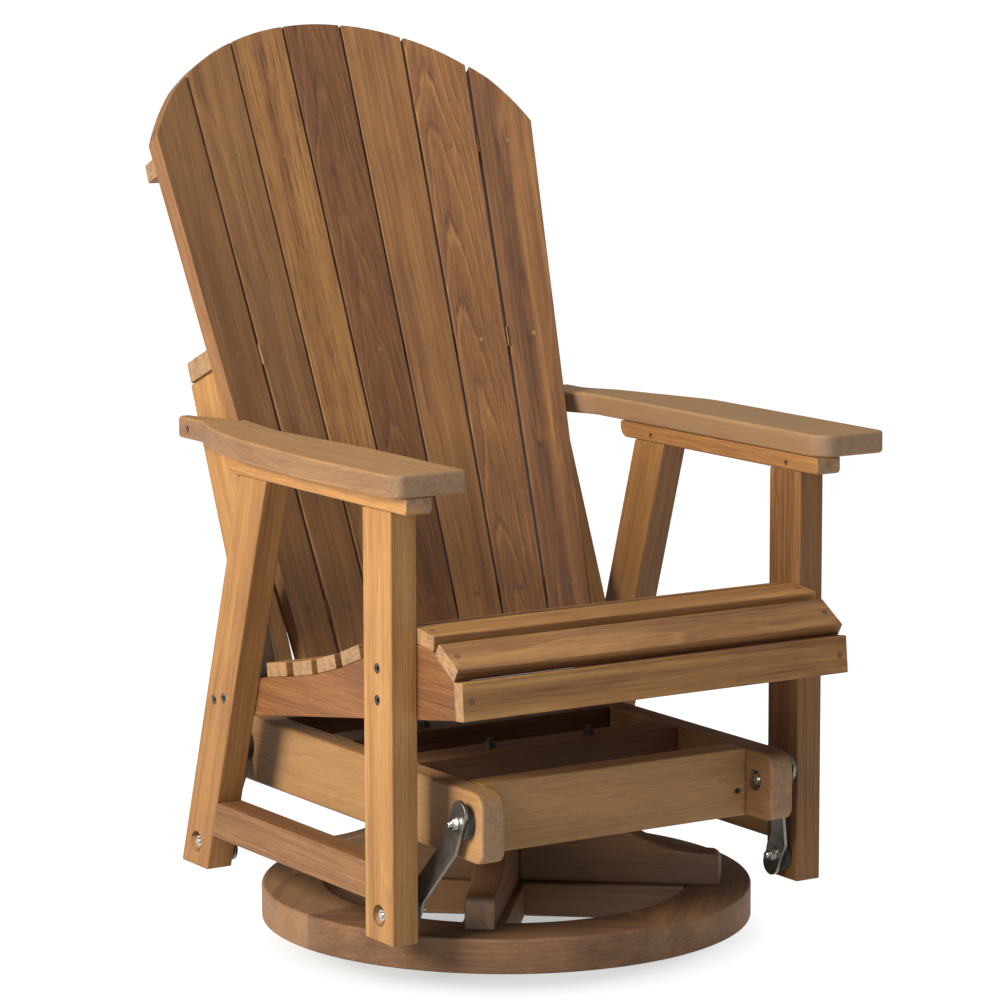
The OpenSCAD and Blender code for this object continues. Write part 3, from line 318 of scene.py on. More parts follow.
def make_materials():
    """One material for each slot of the record."""
    wood = bpy.context.scene.chair_timber
    metal = bpy.context.scene.chair_metal
    tones = (wood.umber, wood.brown, wood.golden, wood.pale)
    return {
        # Seat slats: sanded, golden, with strong dark mineral streaks
        "seat_timber": teak("Sanded teak, streaked", tones, bands=1.25, rings=1.0),
        # Back slats: sanded boards that differ in tone, some with cathedral figure
        "back_timber": teak("Sanded teak, figured", tones, bands=0.65, rings=1.1, fibres=0.9),
        # Legs, rails and battens: sanded, even, straight grain
        "frame_timber": teak("Sanded teak, straight", tones, bands=0.6, rings=0.8),
        # Armrests: worn smooth and dry on top by hands, with painted shade darkening their upright sides
        "arm_timber": teak("Worn teak", tones, bands=0.7, rings=1.0, grey=0.2, roughness=0.6, sides=0.5),
        # Glider frame: sanded, a little dull
        "glider_timber": teak("Dull teak", tones, bands=0.7, rings=0.9, grey=0.12, roughness=0.6),
        # Base: short boards sawn round, rougher
        "base_timber": teak("Sawn teak", tones, bands=0.8, rings=1.1, grey=0.2, roughness=0.62),
        # Plugs: dowels cut flush, dark end grain with glue round the rim
        "plug_timber": dowel("Teak dowel", tones),
        # Links: mild steel bar, brushed along its length and left satin
        "link_steel": steel("Brushed steel", metal.link, 0.36, brush=(0.714, 1.43, 16.7)),
        # Pivot nuts and bolts: bright zinc plate
        "zinc_steel": steel("Zinc plated steel", metal.zinc, 0.24, wear=0.35),
        # Swivel bolts and leg bolts: black oxide, a thin dark oily skin on steel
        "blackened_steel": coating("Black oxide steel", metal.black, 0.38, 0.4),
        # Swivel plates: satin black paint
        "black_painted_steel": coating("Black painted steel", metal.paint, 0.45, 0.8),
        # Spacer discs: moulded nylon
        "black_nylon": coating("Black nylon", metal.nylon, 0.5, 0.6),
    }


def finish_piece(name, mesh, body, slot, replaced):
    """Puts a finished mesh in the scene as a piece that rides on a body and stands for CAD nodes."""
    mesh.name = name
    piece = bpy.data.objects.new(name, mesh)
    bpy.context.scene.collection.objects.link(piece)
    mesh.materials.clear()
    mesh.materials.append(MATERIALS[slot])
    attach(piece, body)
    if replaced:
        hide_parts(*replaced)
    return piece


def joined_copy(node):
    """A copy of a CAD node's mesh with its points joined and each flat side in one face."""
    bm = bmesh.new()
    bm.from_mesh(NODES[node].data)
    bmesh.ops.remove_doubles(bm, verts=bm.verts, dist=0.01 * MM)
    bmesh.ops.dissolve_limit(bm, angle_limit=math.radians(0.3), verts=bm.verts, edges=bm.edges)
    bm.normal_update()
    return bm


def outer_rim(bm, look):
    """The edges round the flat side that faces look, without those of its holes."""
    reach = max(v.co.dot(look) for v in bm.verts)
    side = {f for f in bm.faces
            if f.normal.dot(look) > 0.9999 and abs(f.verts[0].co.dot(look) - reach) < 0.05 * MM}
    edges = {e for e in bm.edges if sum(f in side for f in e.link_faces) == 1}
    loops = []
    while edges:
        loop, ends = [], [edges.pop()]
        while ends:
            edge = ends.pop()
            loop.append(edge)
            for e in {e for v in edge.verts for e in v.link_edges if e in edges}:
                edges.discard(e)
                ends.append(e)
        loops.append(loop)
    return max(loops, key=lambda loop: sum(e.calc_length() for e in loop))


def broad_side(node, near):
    """The way that the widest flat side of a node faces, of those that look about towards near."""
    sums = {}
    for face in NODES[node].data.polygons:
        if face.normal.dot(near) > 0.6:
            key = tuple(round(c, 2) for c in face.normal)
            sums[key] = sums.get(key, Vector()) + face.normal * face.area
    return max(sums.values(), key=lambda total: total.length).normalized()


def longest_way(bm):
    """The direction of a piece's longest straight edge."""
    edge = max(bm.edges, key=lambda e: e.calc_length())
    return (edge.verts[1].co - edge.verts[0].co).normalized()


def set_grain(mesh, node, along, deep, stain, figure, marks):
    """Stores on each point its place in mm in the board that it was sawn from, and how the board looks.

    figure is (how far the pith lies behind the broad side, how far beside it, the tilt of the cut), stain is
    (tone, redness, dryness) and marks is (dark dashes, more rings, more bands)."""
    luck = random.Random(node)
    across = deep.cross(along).normalized()
    behind, beside, tilt = figure
    start = Vector((luck.uniform(0, 5000), beside, behind))
    middle = sum((v.co for v in mesh.vertices), Vector()) / len(mesh.vertices)
    grain = mesh.attributes.new("grain", "FLOAT_VECTOR", "POINT")
    for v, place in zip(mesh.vertices, grain.data):
        at = (v.co - middle) / MM
        run = at.dot(along)
        place.vector = start + Vector((run, at.dot(across), at.dot(deep) + tilt * run))
    for name, value in (("stain", stain), ("marks", marks), ("fibre", tuple(along))):
        stored = mesh.attributes.new(name, "FLOAT_VECTOR", "POINT")
        stored.data.foreach_set("vector", list(value) * len(mesh.vertices))


def eased(bm, edges, radius, name):
    """The mesh with the given edges rounded and the flat sides left flat."""
    bmesh.ops.bevel(bm, geom=list(edges), offset=radius, segments=3, profile=0.5, affect="EDGES",
                    clamp_overlap=False)
    mesh = bpy.data.meshes.new(name + ".raw")
    bm.to_mesh(mesh)
    bm.free()
    for face in mesh.polygons:
        face.use_smooth = True
    mesh.set_sharp_from_angle(angle=SHARP)
    raw = bpy.data.objects.new(name + ".raw", mesh)
    bpy.context.scene.collection.objects.link(raw)
    flats = raw.modifiers.new("Flat sides", "WEIGHTED_NORMAL")
    flats.keep_sharp = True
    flats.weight = 100
    evaluated = raw.evaluated_get(bpy.context.evaluated_depsgraph_get())
    done = bpy.data.meshes.new_from_object(evaluated)
    bpy.data.objects.remove(raw)
    bpy.data.meshes.remove(mesh)
    return done


def timber(node, look, radius, along=None, deep=None, stain=(0, 0, 0), figure=None, marks=(0, 0, 0),
           only=None):
    """A timber piece on its CAD node's shape: the edges of the two flat sides along look are eased.

    only is the side of the piece, as a direction, that is eased where the rest meets other pieces."""
    short = 8 * MM
    bm = joined_copy(node)
    edges = set()
    for way in (look, -look):
        edges |= {e for e in outer_rim(bm, way) if any(abs(f.normal.dot(look)) < 0.3 for f in e.link_faces)}
    for e in bm.edges:
        run = e.verts[1].co - e.verts[0].co
        if len(e.link_faces) == 2 and run.length > short and e.calc_face_angle() > math.radians(25):
            if abs(run.normalized().dot(look)) > 0.95:
                edges.add(e)
    if only:
        reach = max(v.co.dot(only) for v in bm.verts) - short
        edges = {e for e in edges if all(v.co.dot(only) > reach for v in e.verts)}
    along = along or longest_way(bm)
    deep = deep or (look if abs(look.dot(along)) < 0.5 else across_way(along))
    luck = random.Random(node + " board")
    figure = figure or (luck.uniform(60, 140), luck.uniform(-60, 60), luck.uniform(-0.02, 0.02))
    mesh = eased(bm, edges, radius, node)
    set_grain(mesh, node, along, deep, stain, figure, marks)
    return finish_piece(node + ".timber", mesh, BODY_OF[node], SLOT_OF[node], [node])


def across_way(along):
    """A direction square to along, as near to upright as can be."""
    return (Z - along * along.z).normalized() if abs(along.z) < 0.9 else X.copy()


def carry(*names):
    """CAD nodes whose shape is right take their slot's material."""
    for node in names:
        mesh = NODES[node].data
        mesh.materials.clear()
        mesh.materials.append(MATERIALS[SLOT_OF[node]])


def islands(node):
    """The points of each separate solid of a CAD node, as sets of rounded places in a fixed order."""
    bm = joined_copy(node)
    left = set(bm.verts)
    found = []
    while left:
        group, ends = set(), [left.pop()]
        while ends:
            v = ends.pop()
            group.add(v.co.to_tuple(6))
            for other in (e.other_vert(v) for e in v.link_edges):
                if other in left:
                    left.discard(other)
                    ends.append(other)
        found.append(group)
    bm.free()
    return sorted(found, key=min)


def solids(node):
    """The lowest and highest corners of each separate solid of a CAD node."""
    return [tuple(Vector([pick(co[i] for co in group) for i in range(3)]) for pick in (min, max))
            for group in islands(node)]


def geometry_tree(name, sizes, build):
    """A Geometry Nodes tree that puts what build makes on points, each copy turned to its point's facing."""
    tree = bpy.data.node_groups.new(name, "GeometryNodeTree")
    tree.interface.new_socket(name="Points", in_out="INPUT", socket_type="NodeSocketGeometry")
    for size in sizes:
        tree.interface.new_socket(name=size, in_out="INPUT", socket_type="NodeSocketFloat")
    tree.interface.new_socket(name="Material", in_out="INPUT", socket_type="NodeSocketMaterial")
    tree.interface.new_socket(name="Geometry", in_out="OUTPUT", socket_type="NodeSocketGeometry")
    given = tree.nodes.new("NodeGroupInput").outputs
    shape = build(tree, given)
    facing = add(tree, "GeometryNodeInputNamedAttribute", {"data_type": "FLOAT_VECTOR", "Name": "facing"},
                 "Attribute")
    turned = add(tree, "FunctionNodeAlignRotationToVector", {"axis": "Z", "Vector": facing})
    angle = add(tree, "FunctionNodeRandomValue", {"data_type": "FLOAT", 3: math.tau, "Seed": 7}, 1)
    spin = add(tree, "FunctionNodeAxisAngleToRotation", {"Axis": (0, 0, 1), "Angle": angle})
    spun = add(tree, "FunctionNodeRotateRotation",
               {"rotation_space": "LOCAL", "Rotation": turned, "Rotate By": spin})
    copies = add(tree, "GeometryNodeInstanceOnPoints",
                 {"Points": given["Points"], "Instance": shape, "Rotation": spun})
    real = add(tree, "GeometryNodeRealizeInstances", {0: copies})
    painted = add(tree, "GeometryNodeSetMaterial", {"Geometry": real, "Material": given["Material"]})
    add(tree, "NodeGroupOutput", {"Geometry": painted})
    return tree


def grow(name, tree, points, body, slot, replaced=(), **sizes):
    """Runs a tree on points, each a place and the way it faces, and keeps the result as a piece."""
    seeds = bpy.data.meshes.new(name + ".points")
    seeds.from_pydata([place for place, _ in points], [], [])
    facing = seeds.attributes.new("facing", "FLOAT_VECTOR", "POINT")
    facing.data.foreach_set("vector", [c for _, way in points for c in way])
    holder = bpy.data.objects.new(name + ".holder", seeds)
    bpy.context.scene.collection.objects.link(holder)
    modifier = holder.modifiers.new("Copies", "NODES")
    modifier.node_group = tree
    for item in tree.interface.items_tree:
        if item.in_out == "INPUT" and item.name in sizes:
            modifier[item.identifier] = sizes[item.name]
        elif item.in_out == "INPUT" and item.name == "Material":
            modifier[item.identifier] = MATERIALS[slot]
    evaluated = holder.evaluated_get(bpy.context.evaluated_depsgraph_get())
    mesh = bpy.data.meshes.new_from_object(evaluated)
    holder.modifiers.clear()
    bpy.data.objects.remove(holder)
    bpy.data.meshes.remove(seeds)
    for face in mesh.polygons:
        face.use_smooth = True
    mesh.set_sharp_from_angle(angle=SHARP)
    return finish_piece(name, mesh, body, slot, replaced)


def lifted(tree, shape, rise):
    """A geometry moved along its own axis by a socket's value."""
    lift = add(tree, "ShaderNodeCombineXYZ", {"Z": rise})
    return add(tree, "GeometryNodeTransform", {"Geometry": shape, "Translation": lift})


def drum(tree, corners, radius, depth, rise):
    """A round or cornered bar whose middle stands at height rise."""
    shape = add(tree, "GeometryNodeMeshCylinder", {"Vertices": corners, "Radius": radius, "Depth": depth})
    return lifted(tree, shape, rise)


def hex_nut(tree, given):
    """A nut with its corners turned off, on a washer.

    Width is across the flats, Height over both, Bore and Washer are the diameters inside and out."""
    half = weighed(tree, (given["Height"], 0.5))
    radius = weighed(tree, (given["Width"], 0.5 / math.cos(math.pi / 6)))
    body = drum(tree, 6, radius, given["Height"], half)
    ball = add(tree, "GeometryNodeMeshUVSphere",
               {"Segments": 32, "Rings": 24, "Radius": weighed(tree, (radius, 1.06))})
    nut = add(tree, "GeometryNodeMeshBoolean", {"operation": "INTERSECT", "Mesh 2": body})
    tree.links.new(lifted(tree, ball, half), nut.node.inputs["Mesh 2"])
    thick = weighed(tree, (given["Height"], 0.2))
    washer = drum(tree, 40, weighed(tree, (given["Washer"], 0.5)), thick, weighed(tree, (thick, 0.5)))
    whole = add(tree, "GeometryNodeMeshBoolean", {"operation": "UNION", "Mesh 2": nut})
    tree.links.new(washer, whole.node.inputs["Mesh 2"])
    bore = drum(tree, 24, weighed(tree, (given["Bore"], 0.5)), weighed(tree, (given["Height"], 3.0)), half)
    return add(tree, "GeometryNodeMeshBoolean", {"operation": "DIFFERENCE", "Mesh 1": whole, "Mesh 2": bore})


def threaded_end(tree, given):
    """A bolt's end: a core with a thread wound round it, Width across and Height long, of the given Pitch."""
    radius = weighed(tree, (given["Width"], 0.44))
    core = drum(tree, 24, radius, given["Height"], weighed(tree, (given["Height"], 0.5)))
    turns = add(tree, "ShaderNodeMath", {"operation": "DIVIDE", 0: given["Height"], 1: given["Pitch"]})
    turns = weighed(tree, (turns, 1.0), start=-0.8)
    coil = add(tree, "GeometryNodeCurveSpiral", {
        "Resolution": 20, "Rotations": turns, "Start Radius": radius, "End Radius": radius,
        "Height": weighed(tree, (turns, given["Pitch"]))})
    ridge = add(tree, "GeometryNodeCurvePrimitiveCircle",
                {"Resolution": 4, "Radius": weighed(tree, (given["Pitch"], 0.42))})
    thread = add(tree, "GeometryNodeCurveToMesh", {"Fill Caps": True, "Curve": coil, "Profile Curve": ridge})
    both = add(tree, "GeometryNodeJoinGeometry", {0: core})
    tree.links.new(lifted(tree, thread, weighed(tree, (given["Pitch"], 0.3))), both.node.inputs[0])
    return both


def flush_plug(tree, given):
    """A dowel's flush end, Width across and Height deep; its core attribute is 0 on the axis, 1 outside."""
    radius = weighed(tree, (given["Width"], 0.5))
    disc = add(tree, "GeometryNodeMeshCylinder",
               {"Vertices": 28, "Fill Segments": 5, "Radius": radius, "Depth": given["Height"]})
    low = lifted(tree, disc, weighed(tree, (given["Height"], -0.5)))
    place = add(tree, "GeometryNodeInputPosition")
    flat = add(tree, "ShaderNodeVectorMath", {"operation": "MULTIPLY", 0: place, 1: (1, 1, 0)})
    away = add(tree, "ShaderNodeVectorMath", {"operation": "LENGTH", 0: flat}, "Value")
    share = add(tree, "ShaderNodeMath", {"operation": "DIVIDE", 0: away, 1: radius})
    return add(tree, "GeometryNodeStoreNamedAttribute", {
        "Name": "core", "data_type": "FLOAT", "domain": "POINT", "Geometry": low, "Value": share})


def flat_washer(tree, given):
    """A plain washer, Width across and Height thick, with a Bore."""
    half = weighed(tree, (given["Height"], 0.5))
    disc = drum(tree, 48, weighed(tree, (given["Width"], 0.5)), given["Height"], half)
    bore = drum(tree, 48, weighed(tree, (given["Bore"], 0.5)), weighed(tree, (given["Height"], 3.0)), half)
    return add(tree, "GeometryNodeMeshBoolean", {"operation": "DIFFERENCE", "Mesh 1": disc, "Mesh 2": bore})


class CHAIR_OT_base(bpy.types.Operator):
    """Ring, cross timbers and lower plate of the base"""

    bl_idname = "chair.base"
    bl_label = "Base"

    def execute(self, context):
        edge = context.scene.chair_timber.base_edge
        stains = {"front_left": (-0.26, 0.1, 0.05), "front_right": (-0.1, 0.1, 0.08),
                  "rear_left": (0.0, 0.0, 0.3), "rear_right": (-0.05, 0.2, 0.1)}
        for place, stain in stains.items():
            node = "ring_segment_" + place
            low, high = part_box(node)
            out = (low + high) / 2 - SWIVEL
            out.z = 0
            along = Z.cross(out.normalized())
            timber(node, Z, edge, along=along, deep=Z, stain=stain, figure=(70, 20, 0.01))
        stains = {"lower_cross_timber": (-0.1, 0.2, 0.1), "upper_cross_timber": (-0.14, 0.1, 0.2)}
        for node, stain in stains.items():
            bm = joined_copy(node)
            along = longest_way(bm)
            bm.free()
            timber(node, Z.cross(along).normalized(), edge, along=along, stain=stain)
        self.spokes(edge)
        carry("swivel_lower_plate", "base_screws")
        return {"FINISHED"}

    def spokes(self, edge):
        """The two spokes inside the ring, which share a node and keep each its own grain."""
        for place, group in enumerate(islands("base_spokes")):
            bm = joined_copy("base_spokes")
            bmesh.ops.delete(bm, geom=[v for v in bm.verts if v.co.to_tuple(6) not in group], context="VERTS")
            along = longest_way(bm)
            edges = [e for e in bm.edges if e.calc_face_angle() > math.radians(60)
                     and abs((e.verts[1].co - e.verts[0].co).normalized().dot(along)) > 0.99
                     and e.calc_length() > 60 * MM]
            name = f"base_spokes.timber_{place + 1}"
            mesh = eased(bm, edges, edge, name)
            set_grain(mesh, name, along, Z.copy(), (-0.08, 0.1, 0.1), (60 + 30 * place, 20, 0.01), (0, 0, 0))
            finish_piece(name, mesh, "base", SLOT_OF["base_spokes"], ["base_spokes"])


class CHAIR_OT_glider_frame(bpy.types.Operator):
    """Rails of the frame that turns on the base"""

    bl_idname = "chair.glider_frame"
    bl_label = "Glider frame"

    def execute(self, context):
        timbers = context.scene.chair_timber
        for side, stain in (("left", (0.33, 0.0, 0.2)), ("right", (-0.02, 0.15, 0.1))):
            timber(side + "_glider_rail", X, timbers.arm_edge, along=Y.copy(), deep=X.copy(), stain=stain)
        # The rear cross rail and rear swivel rail are toned near black as painted shade inside the glider frame
        boards = {"front_cross_rail": ((0.28, 0.05, 0.14), (26, 14, 0.035)),
                  "rear_cross_rail": ((-0.4, 0.2, 0.0), None),
                  "front_swivel_rail": ((-0.26, 0.1, 0.05), None),
                  "rear_swivel_rail": ((-0.42, 0.1, 0.0), None)}
        for node, (stain, figure) in boards.items():
            timber(node, X, timbers.frame_edge, along=X.copy(), deep=Y.copy(), stain=stain, figure=figure)
        carry("swivel_upper_plate", "glider_frame_bolts")
        return {"FINISHED"}


class CHAIR_OT_links(bpy.types.Operator):
    """Four bent steel links, their edges and bends rounded"""

    bl_idname = "chair.links"
    bl_label = "Links"

    def execute(self, context):
        for end in ("front", "rear"):
            for side in SIDES:
                node = f"{end}_{side}_link"
                bm = joined_copy(node)
                edges = [e for e in bm.edges
                         if len(e.link_faces) == 2 and e.calc_face_angle() > math.radians(50)]
                mesh = eased(bm, edges, context.scene.chair_metal.link_edge, node)
                finish_piece(node + ".steel", mesh, node, SLOT_OF[node], [node])
        return {"FINISHED"}


class CHAIR_OT_side_frames(bpy.types.Operator):
    """Legs, side stretchers and arm supports"""

    bl_idname = "chair.side_frames"
    bl_label = "Side frames"

    def execute(self, context):
        edge = context.scene.chair_timber.frame_edge
        # The right front leg is toned darker as painted shade, where the chair's left side keeps the key light off
        # it
        boards = {"left_front_leg": (0.17, 0.0, 0.0), "left_rear_leg": (0.08, 0.0, 0.0),
                  "left_side_stretcher": (-0.18, 0.05, 0.1), "left_arm_support": (0.1, 0.1, 0.0),
                  "right_front_leg": (-0.16, 0.0, 0.0), "right_rear_leg": (0.0, 0.0, 0.0),
                  "right_side_stretcher": (0.0, 0.1, 0.1), "right_arm_support": (0.04, 0.1, 0.0)}
        for node, stain in boards.items():
            timber(node, X, edge, deep=X.copy(), stain=stain)
        return {"FINISHED"}


class CHAIR_OT_armrests(bpy.types.Operator):
    """The two armrests"""

    bl_idname = "chair.armrests"
    bl_label = "Armrests"

    def execute(self, context):
        edge = context.scene.chair_timber.arm_edge
        for side, stain, figure in (("left", (0.3, 0.0, 0.2), (24, 10, 0.03)),
                                    ("right", (0.55, 0.0, 0.4), (30, -8, -0.02))):
            timber(side + "_armrest", Z, edge, along=Y.copy(), deep=Z.copy(), stain=stain, figure=figure)
        return {"FINISHED"}


class CHAIR_OT_seat(bpy.types.Operator):
    """Seat rails, slats, nose slat and apron"""

    bl_idname = "chair.seat"
    bl_label = "Seat"

    def execute(self, context):
        timbers = context.scene.chair_timber
        for side in SIDES:
            timber(side + "_seat_rail", X, timbers.slat_edge, along=Y.copy(), deep=X.copy(),
                   stain=(-0.17, 0.3, 0.0))
        luck = random.Random("seat slats")
        for i in range(1, 8):
            node = f"seat_slat_{i}"
            stain = (luck.uniform(-0.04, 0.12) + 0.16 * (i == 1), luck.uniform(0, 0.2), 0.0)
            timber(node, X, timbers.slat_edge, along=X.copy(), deep=broad_side(node, Z), stain=stain)
        out = broad_side("nose_slat", Z)
        timber("nose_slat", X, timbers.slat_edge, along=X.copy(), deep=out, only=out,
               stain=(0.06, 0.0, 0.05), figure=(48, 10, 0.02), marks=(0.12, 0.3, 0.2))
        out = broad_side("apron", -Y)
        timber("apron", X, timbers.slat_edge, along=X.copy(), deep=out, only=out,
               stain=(0.06, 0.05, 0.0), figure=(90, 0, 0.0), marks=(0.1, 0, 0.2))
        return {"FINISHED"}


class CHAIR_OT_back(bpy.types.Operator):
    """Back slats, battens and stiles"""

    bl_idname = "chair.back"
    bl_label = "Back"

    def execute(self, context):
        timbers = context.scene.chair_timber
        # Each board's stain, figure and marks, as set_grain takes them
        boards = [
            ((-0.1, 0.0, 0.1), (90, 30, 0.0), (0, -0.4, -0.2)),
            ((-0.02, 0.0, 0.1), (80, -40, 0.01), (0, 0, 0)),
            ((0.08, 0.0, 0.0), (60, 46, 0.01), (0.3, 0, 0.2)),
            ((-0.28, 0.2, 0.0), (24, -4, -0.04), (0, 0.3, -0.3)),
            ((-0.08, 0.0, 0.0), (120, 70, 0.0), (0, -0.3, 0)),
            ((-0.1, 0.1, 0.0), (18, 4, -0.05), (0, 0.9, -0.4)),
            # The seventh board is darker partly in its own tone and partly as painted shade against the key light
            # it faces
            ((-0.18, 0.1, 0.0), (70, -10, 0.01), (0.06, 0, 0.4)),
        ]
        for i, (stain, figure, marks) in enumerate(boards, 1):
            node = f"back_slat_{i}"
            look = broad_side(node, -Y)
            timber(node, look, timbers.back_edge, deep=look, stain=stain, figure=figure, marks=marks)
        up = broad_side("upper_back_batten", Z)
        behind = up.cross(X)
        for node in ("upper_back_batten", "middle_back_batten", "lower_back_batten"):
            timber(node, up, timbers.slat_edge, along=X.copy(), deep=up, stain=(0.08, 0.0, 0.05), only=behind)
        for side in SIDES:
            timber(side + "_stile", X, timbers.slat_edge, deep=X.copy(), stain=(0.22, 0.0, 0.0))
        return {"FINISHED"}


class CHAIR_OT_plugs(bpy.types.Operator):
    """Wood plugs over the slat screws"""

    bl_idname = "chair.plugs"
    bl_label = "Wood plugs"

    def execute(self, context):
        bm = joined_copy("wood_plugs")
        caps = [f for f in bm.faces if len(f.verts) > 8 and f.normal.dot(Z - Y) > 0.3]
        points = [(f.calc_center_median(), f.normal.copy()) for f in caps]
        wide = 2 * (caps[0].verts[0].co - caps[0].calc_center_median()).length
        bm.free()
        plugs = geometry_tree("Flush plugs", ("Width", "Height"), flush_plug)
        grow("wood_plugs.dowels", plugs, points, "seat", "plug_timber", ["wood_plugs"],
             Width=wide, Height=context.scene.chair_timber.plug_deep)
        return {"FINISHED"}


class CHAIR_OT_bolts(bpy.types.Operator):
    """Nuts, bolts, screw heads and spacer discs"""

    bl_idname = "chair.bolts"
    bl_label = "Bolts"

    def execute(self, context):
        metal = context.scene.chair_metal
        nuts = geometry_tree("Hex nuts", ("Width", "Height", "Bore", "Washer"), hex_nut)
        ends = geometry_tree("Threaded ends", ("Width", "Height", "Pitch"), threaded_end)
        washers = geometry_tree("Flat washers", ("Width", "Height", "Bore"), flat_washer)
        bore = metal.bolt_bore
        thickest_nut = 20 * MM
        for node, body in (("upper_pivot_bolts", "glider_frame"), ("lower_pivot_bolts", "seat")):
            nut_points, end_points = [], []
            parts = solids(node)
            shafts = [p for p in parts if p[1].x - p[0].x > thickest_nut]
            for low, high in parts:
                size = high - low
                if size.x > thickest_nut:
                    continue
                middle = (low + high) / 2
                shaft = min(shafts, key=lambda p: ((p[0] + p[1]) / 2 - middle).length)
                centre = (shaft[0] + shaft[1]) / 2
                way = math.copysign(1, middle.x - centre.x)
                seat = Vector((low.x if way > 0 else high.x, middle.y, middle.z))
                nut_points.append((seat, X * way))
                tip = shaft[1].x if way > 0 else shaft[0].x
                end_points.append((seat, X * way, abs(tip - seat.x)))
            height = min(high.x - low.x for low, high in parts)
            sunk = [(place, way) for place, way in nut_points
                    if (place.x - SWIVEL.x) * way.x > 0 and node.startswith("lower")
                    or (place.x - SWIVEL.x) * way.x < 0 and node.startswith("upper")]
            grow(node + ".washers", washers, sunk, body, "black_nylon", (), Width=metal.sunk_washer,
                 Height=metal.sunk_thick, Bore=bore)
            grow(node + ".nuts", nuts, nut_points, body, "zinc_steel", [node], Width=metal.nut_wide,
                 Height=height, Bore=bore, Washer=metal.nut_washer)
            for long in sorted({round(p[2], 5) for p in end_points}):
                chosen = [(p, way) for p, way, reach in end_points if abs(reach - long) < 1e-5]
                grow(f"{node}.ends_{round(long / MM)}", ends, chosen, body, "zinc_steel", (),
                     Width=metal.bolt_wide, Height=long, Pitch=metal.thread_pitch)
        carry("upper_pivot_discs", "lower_pivot_discs", "seat_screws")
        return {"FINISHED"}


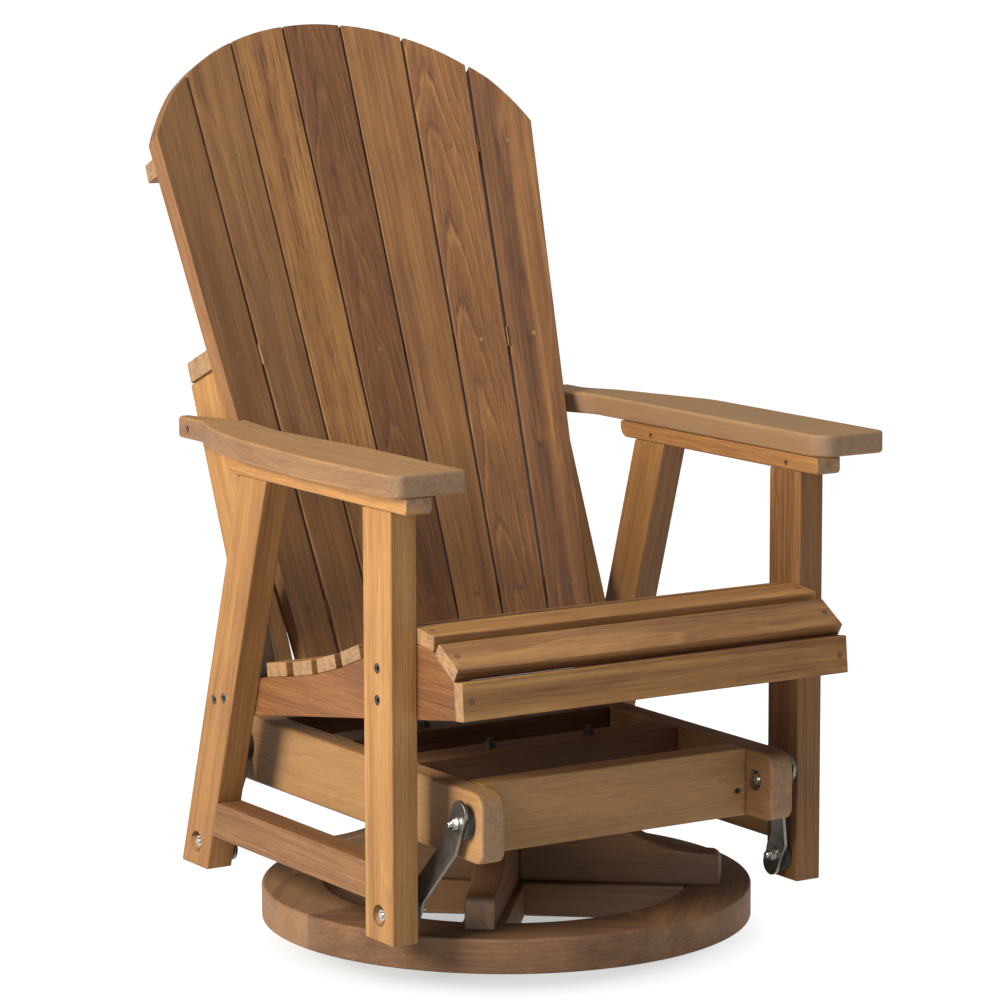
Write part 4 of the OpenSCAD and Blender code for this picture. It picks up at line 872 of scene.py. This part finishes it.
class CHAIR_OT_stage(bpy.types.Operator):
    """Floor, studio light and camera"""

    bl_idname = "chair.stage"
    bl_label = "Stage"

    def execute(self, context):
        scene = context.scene
        stage = scene.chair_stage
        self.floor(stage)
        world = bpy.data.worlds.new("White room")
        world.use_nodes = True
        world.node_tree.nodes["Background"].inputs["Color"].default_value = (1, 1, 1, 1)
        world.node_tree.nodes["Background"].inputs["Strength"].default_value = stage.air
        scene.world = world
        middle = Vector((0, 0, 0.5))
        white, sunny = "#FFFFFF", "#FFF8EB"
        self.lamp("Key light", middle, (-1.0, -0.16, 0.36), sunny, stage.key_power, far=2.4, wide=1.1)
        self.lamp("Top light", middle, (0.1, -0.3, 1.0), white, stage.top_power, far=3.0, wide=2.0)
        glint = self.lamp("Glint light", middle, (-0.75, -1.0, 0.5), white, stage.glint_power,
                          far=2.6, wide=0.6)
        glint.visible_diffuse = False
        scene.view_settings.view_transform = "Standard"
        self.camera(scene)
        return {"FINISHED"}

    def floor(self, stage):
        """A wide white floor.

        Its glow is dimmed under the chair and before its base: a painted contact shadow within the brighter
        glowing floor round it."""
        reach = 60.0
        mesh = bpy.data.meshes.new("Floor")
        mesh.from_pydata([(-reach, -reach, 0), (reach, -reach, 0), (reach, reach, 0), (-reach, reach, 0)],
                         [], [(0, 1, 2, 3)])
        floor = bpy.data.objects.new("Floor", mesh)
        bpy.context.scene.collection.objects.link(floor)
        material, tree = bare_material("White floor with painted contact shadow")
        place = add(tree, "ShaderNodeTexCoord", out="Object")
        # The glow dims towards this point just before the base: a painted contact shadow
        dark = SWIVEL + Vector((-0.064, -0.102, -SWIVEL.z))
        away = add(tree, "ShaderNodeVectorMath", {"operation": "DISTANCE", 0: place, 1: dark}, "Value")
        low = stage.floor_glow
        shares = ((0.1, 0.0), (0.22, 0.18), (0.235, 0.33), (0.26, 0.55), (0.285, 0.68), (0.33, 1.0))
        glow = add(tree, "ShaderNodeValToRGB", {"Fac": away},
                   stops=[(far, (low + share * (1 - low),) * 3 + (1,)) for far, share in shares])
        skin = add(tree, "ShaderNodeBsdfPrincipled", {
            "Base Color": linear(stage.floor), "Specular IOR Level": 0.1, "Roughness": 0.85,
            "Emission Color": (1, 1, 1, 1), "Emission Strength": glow})
        add(tree, "ShaderNodeOutputMaterial", {"Surface": skin})
        mesh.materials.append(material)

    def lamp(self, name, middle, way, code, power, far, wide):
        """An area lamp that stands far metres off the given way and faces the middle."""
        lamp = bpy.data.lights.new(name, "AREA")
        lamp.size = wide
        lamp.energy = power
        lamp.color = linear(code)[:3]
        holder = bpy.data.objects.new(name, lamp)
        bpy.context.scene.collection.objects.link(holder)
        way = Vector(way).normalized()
        holder.location = middle + way * far
        holder.rotation_euler = way.to_track_quat("Z", "Y").to_euler()
        return holder

    def camera(self, scene):
        """The photograph's view: where its camera stood, how it looked and how it was framed."""
        place = Vector((-2.6963, -4.2785, 1.2712))
        turn, fall, roll = math.radians(-32.4425), math.radians(8.6793), math.radians(-0.1298)
        focal, centre, image = 4162.08, (502.708, 500.259), 1000
        back = Vector((math.sin(turn) * math.cos(fall), -math.cos(turn) * math.cos(fall), math.sin(fall)))
        right = Z.cross(back).normalized()
        up = back.cross(right)
        across = right * math.cos(roll) + up * math.sin(roll)
        rise = up * math.cos(roll) - right * math.sin(roll)
        lens = bpy.data.cameras.new("Camera")
        lens.sensor_width = 36
        lens.lens = focal * lens.sensor_width / image
        lens.shift_x = (image / 2 - centre[0]) / image
        lens.shift_y = (centre[1] - image / 2) / image
        lens.clip_end = 200
        camera = bpy.data.objects.new("Camera", lens)
        scene.collection.objects.link(camera)
        camera.matrix_world = Matrix.Translation(place) @ Matrix((across, rise, back)).transposed().to_4x4()
        scene.camera = camera


class CHAIR_PT_panel(bpy.types.Panel):
    """Lists the steps that dress the chair"""

    bl_label = "Swivel glider chair"
    bl_idname = "CHAIR_PT_panel"
    bl_space_type = "VIEW_3D"
    bl_region_type = "UI"
    bl_category = "Chair"

    def draw(self, context):
        for operator in OPERATORS:
            self.layout.operator(operator.bl_idname)
        for group in (context.scene.chair_timber, context.scene.chair_metal, context.scene.chair_stage):
            box = self.layout.box()
            for name in group.bl_rna.properties.keys():
                if name not in {"rna_type", "name"}:
                    box.prop(group, name)


OPERATORS = (CHAIR_OT_base, CHAIR_OT_glider_frame, CHAIR_OT_links, CHAIR_OT_side_frames, CHAIR_OT_armrests,
             CHAIR_OT_seat, CHAIR_OT_back, CHAIR_OT_plugs, CHAIR_OT_bolts, CHAIR_OT_stage)
GROUPS = {"chair_timber": ChairTimber, "chair_metal": ChairMetal, "chair_stage": ChairStage}
MATERIALS = {}


def register():
    for kind in (*GROUPS.values(), *OPERATORS, CHAIR_PT_panel):
        bpy.utils.register_class(kind)
    for name, kind in GROUPS.items():
        setattr(bpy.types.Scene, name, bpy.props.PointerProperty(type=kind))


def unregister():
    for name in GROUPS:
        delattr(bpy.types.Scene, name)
    for kind in reversed((*GROUPS.values(), *OPERATORS, CHAIR_PT_panel)):
        bpy.utils.unregister_class(kind)


def main():
    """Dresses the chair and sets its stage."""
    register()
    MATERIALS.update(make_materials())
    for operator in OPERATORS:
        name = operator.bl_idname.split(".")[1]
        getattr(bpy.ops.chair, name)()


if __name__ == "__main__":
    main()
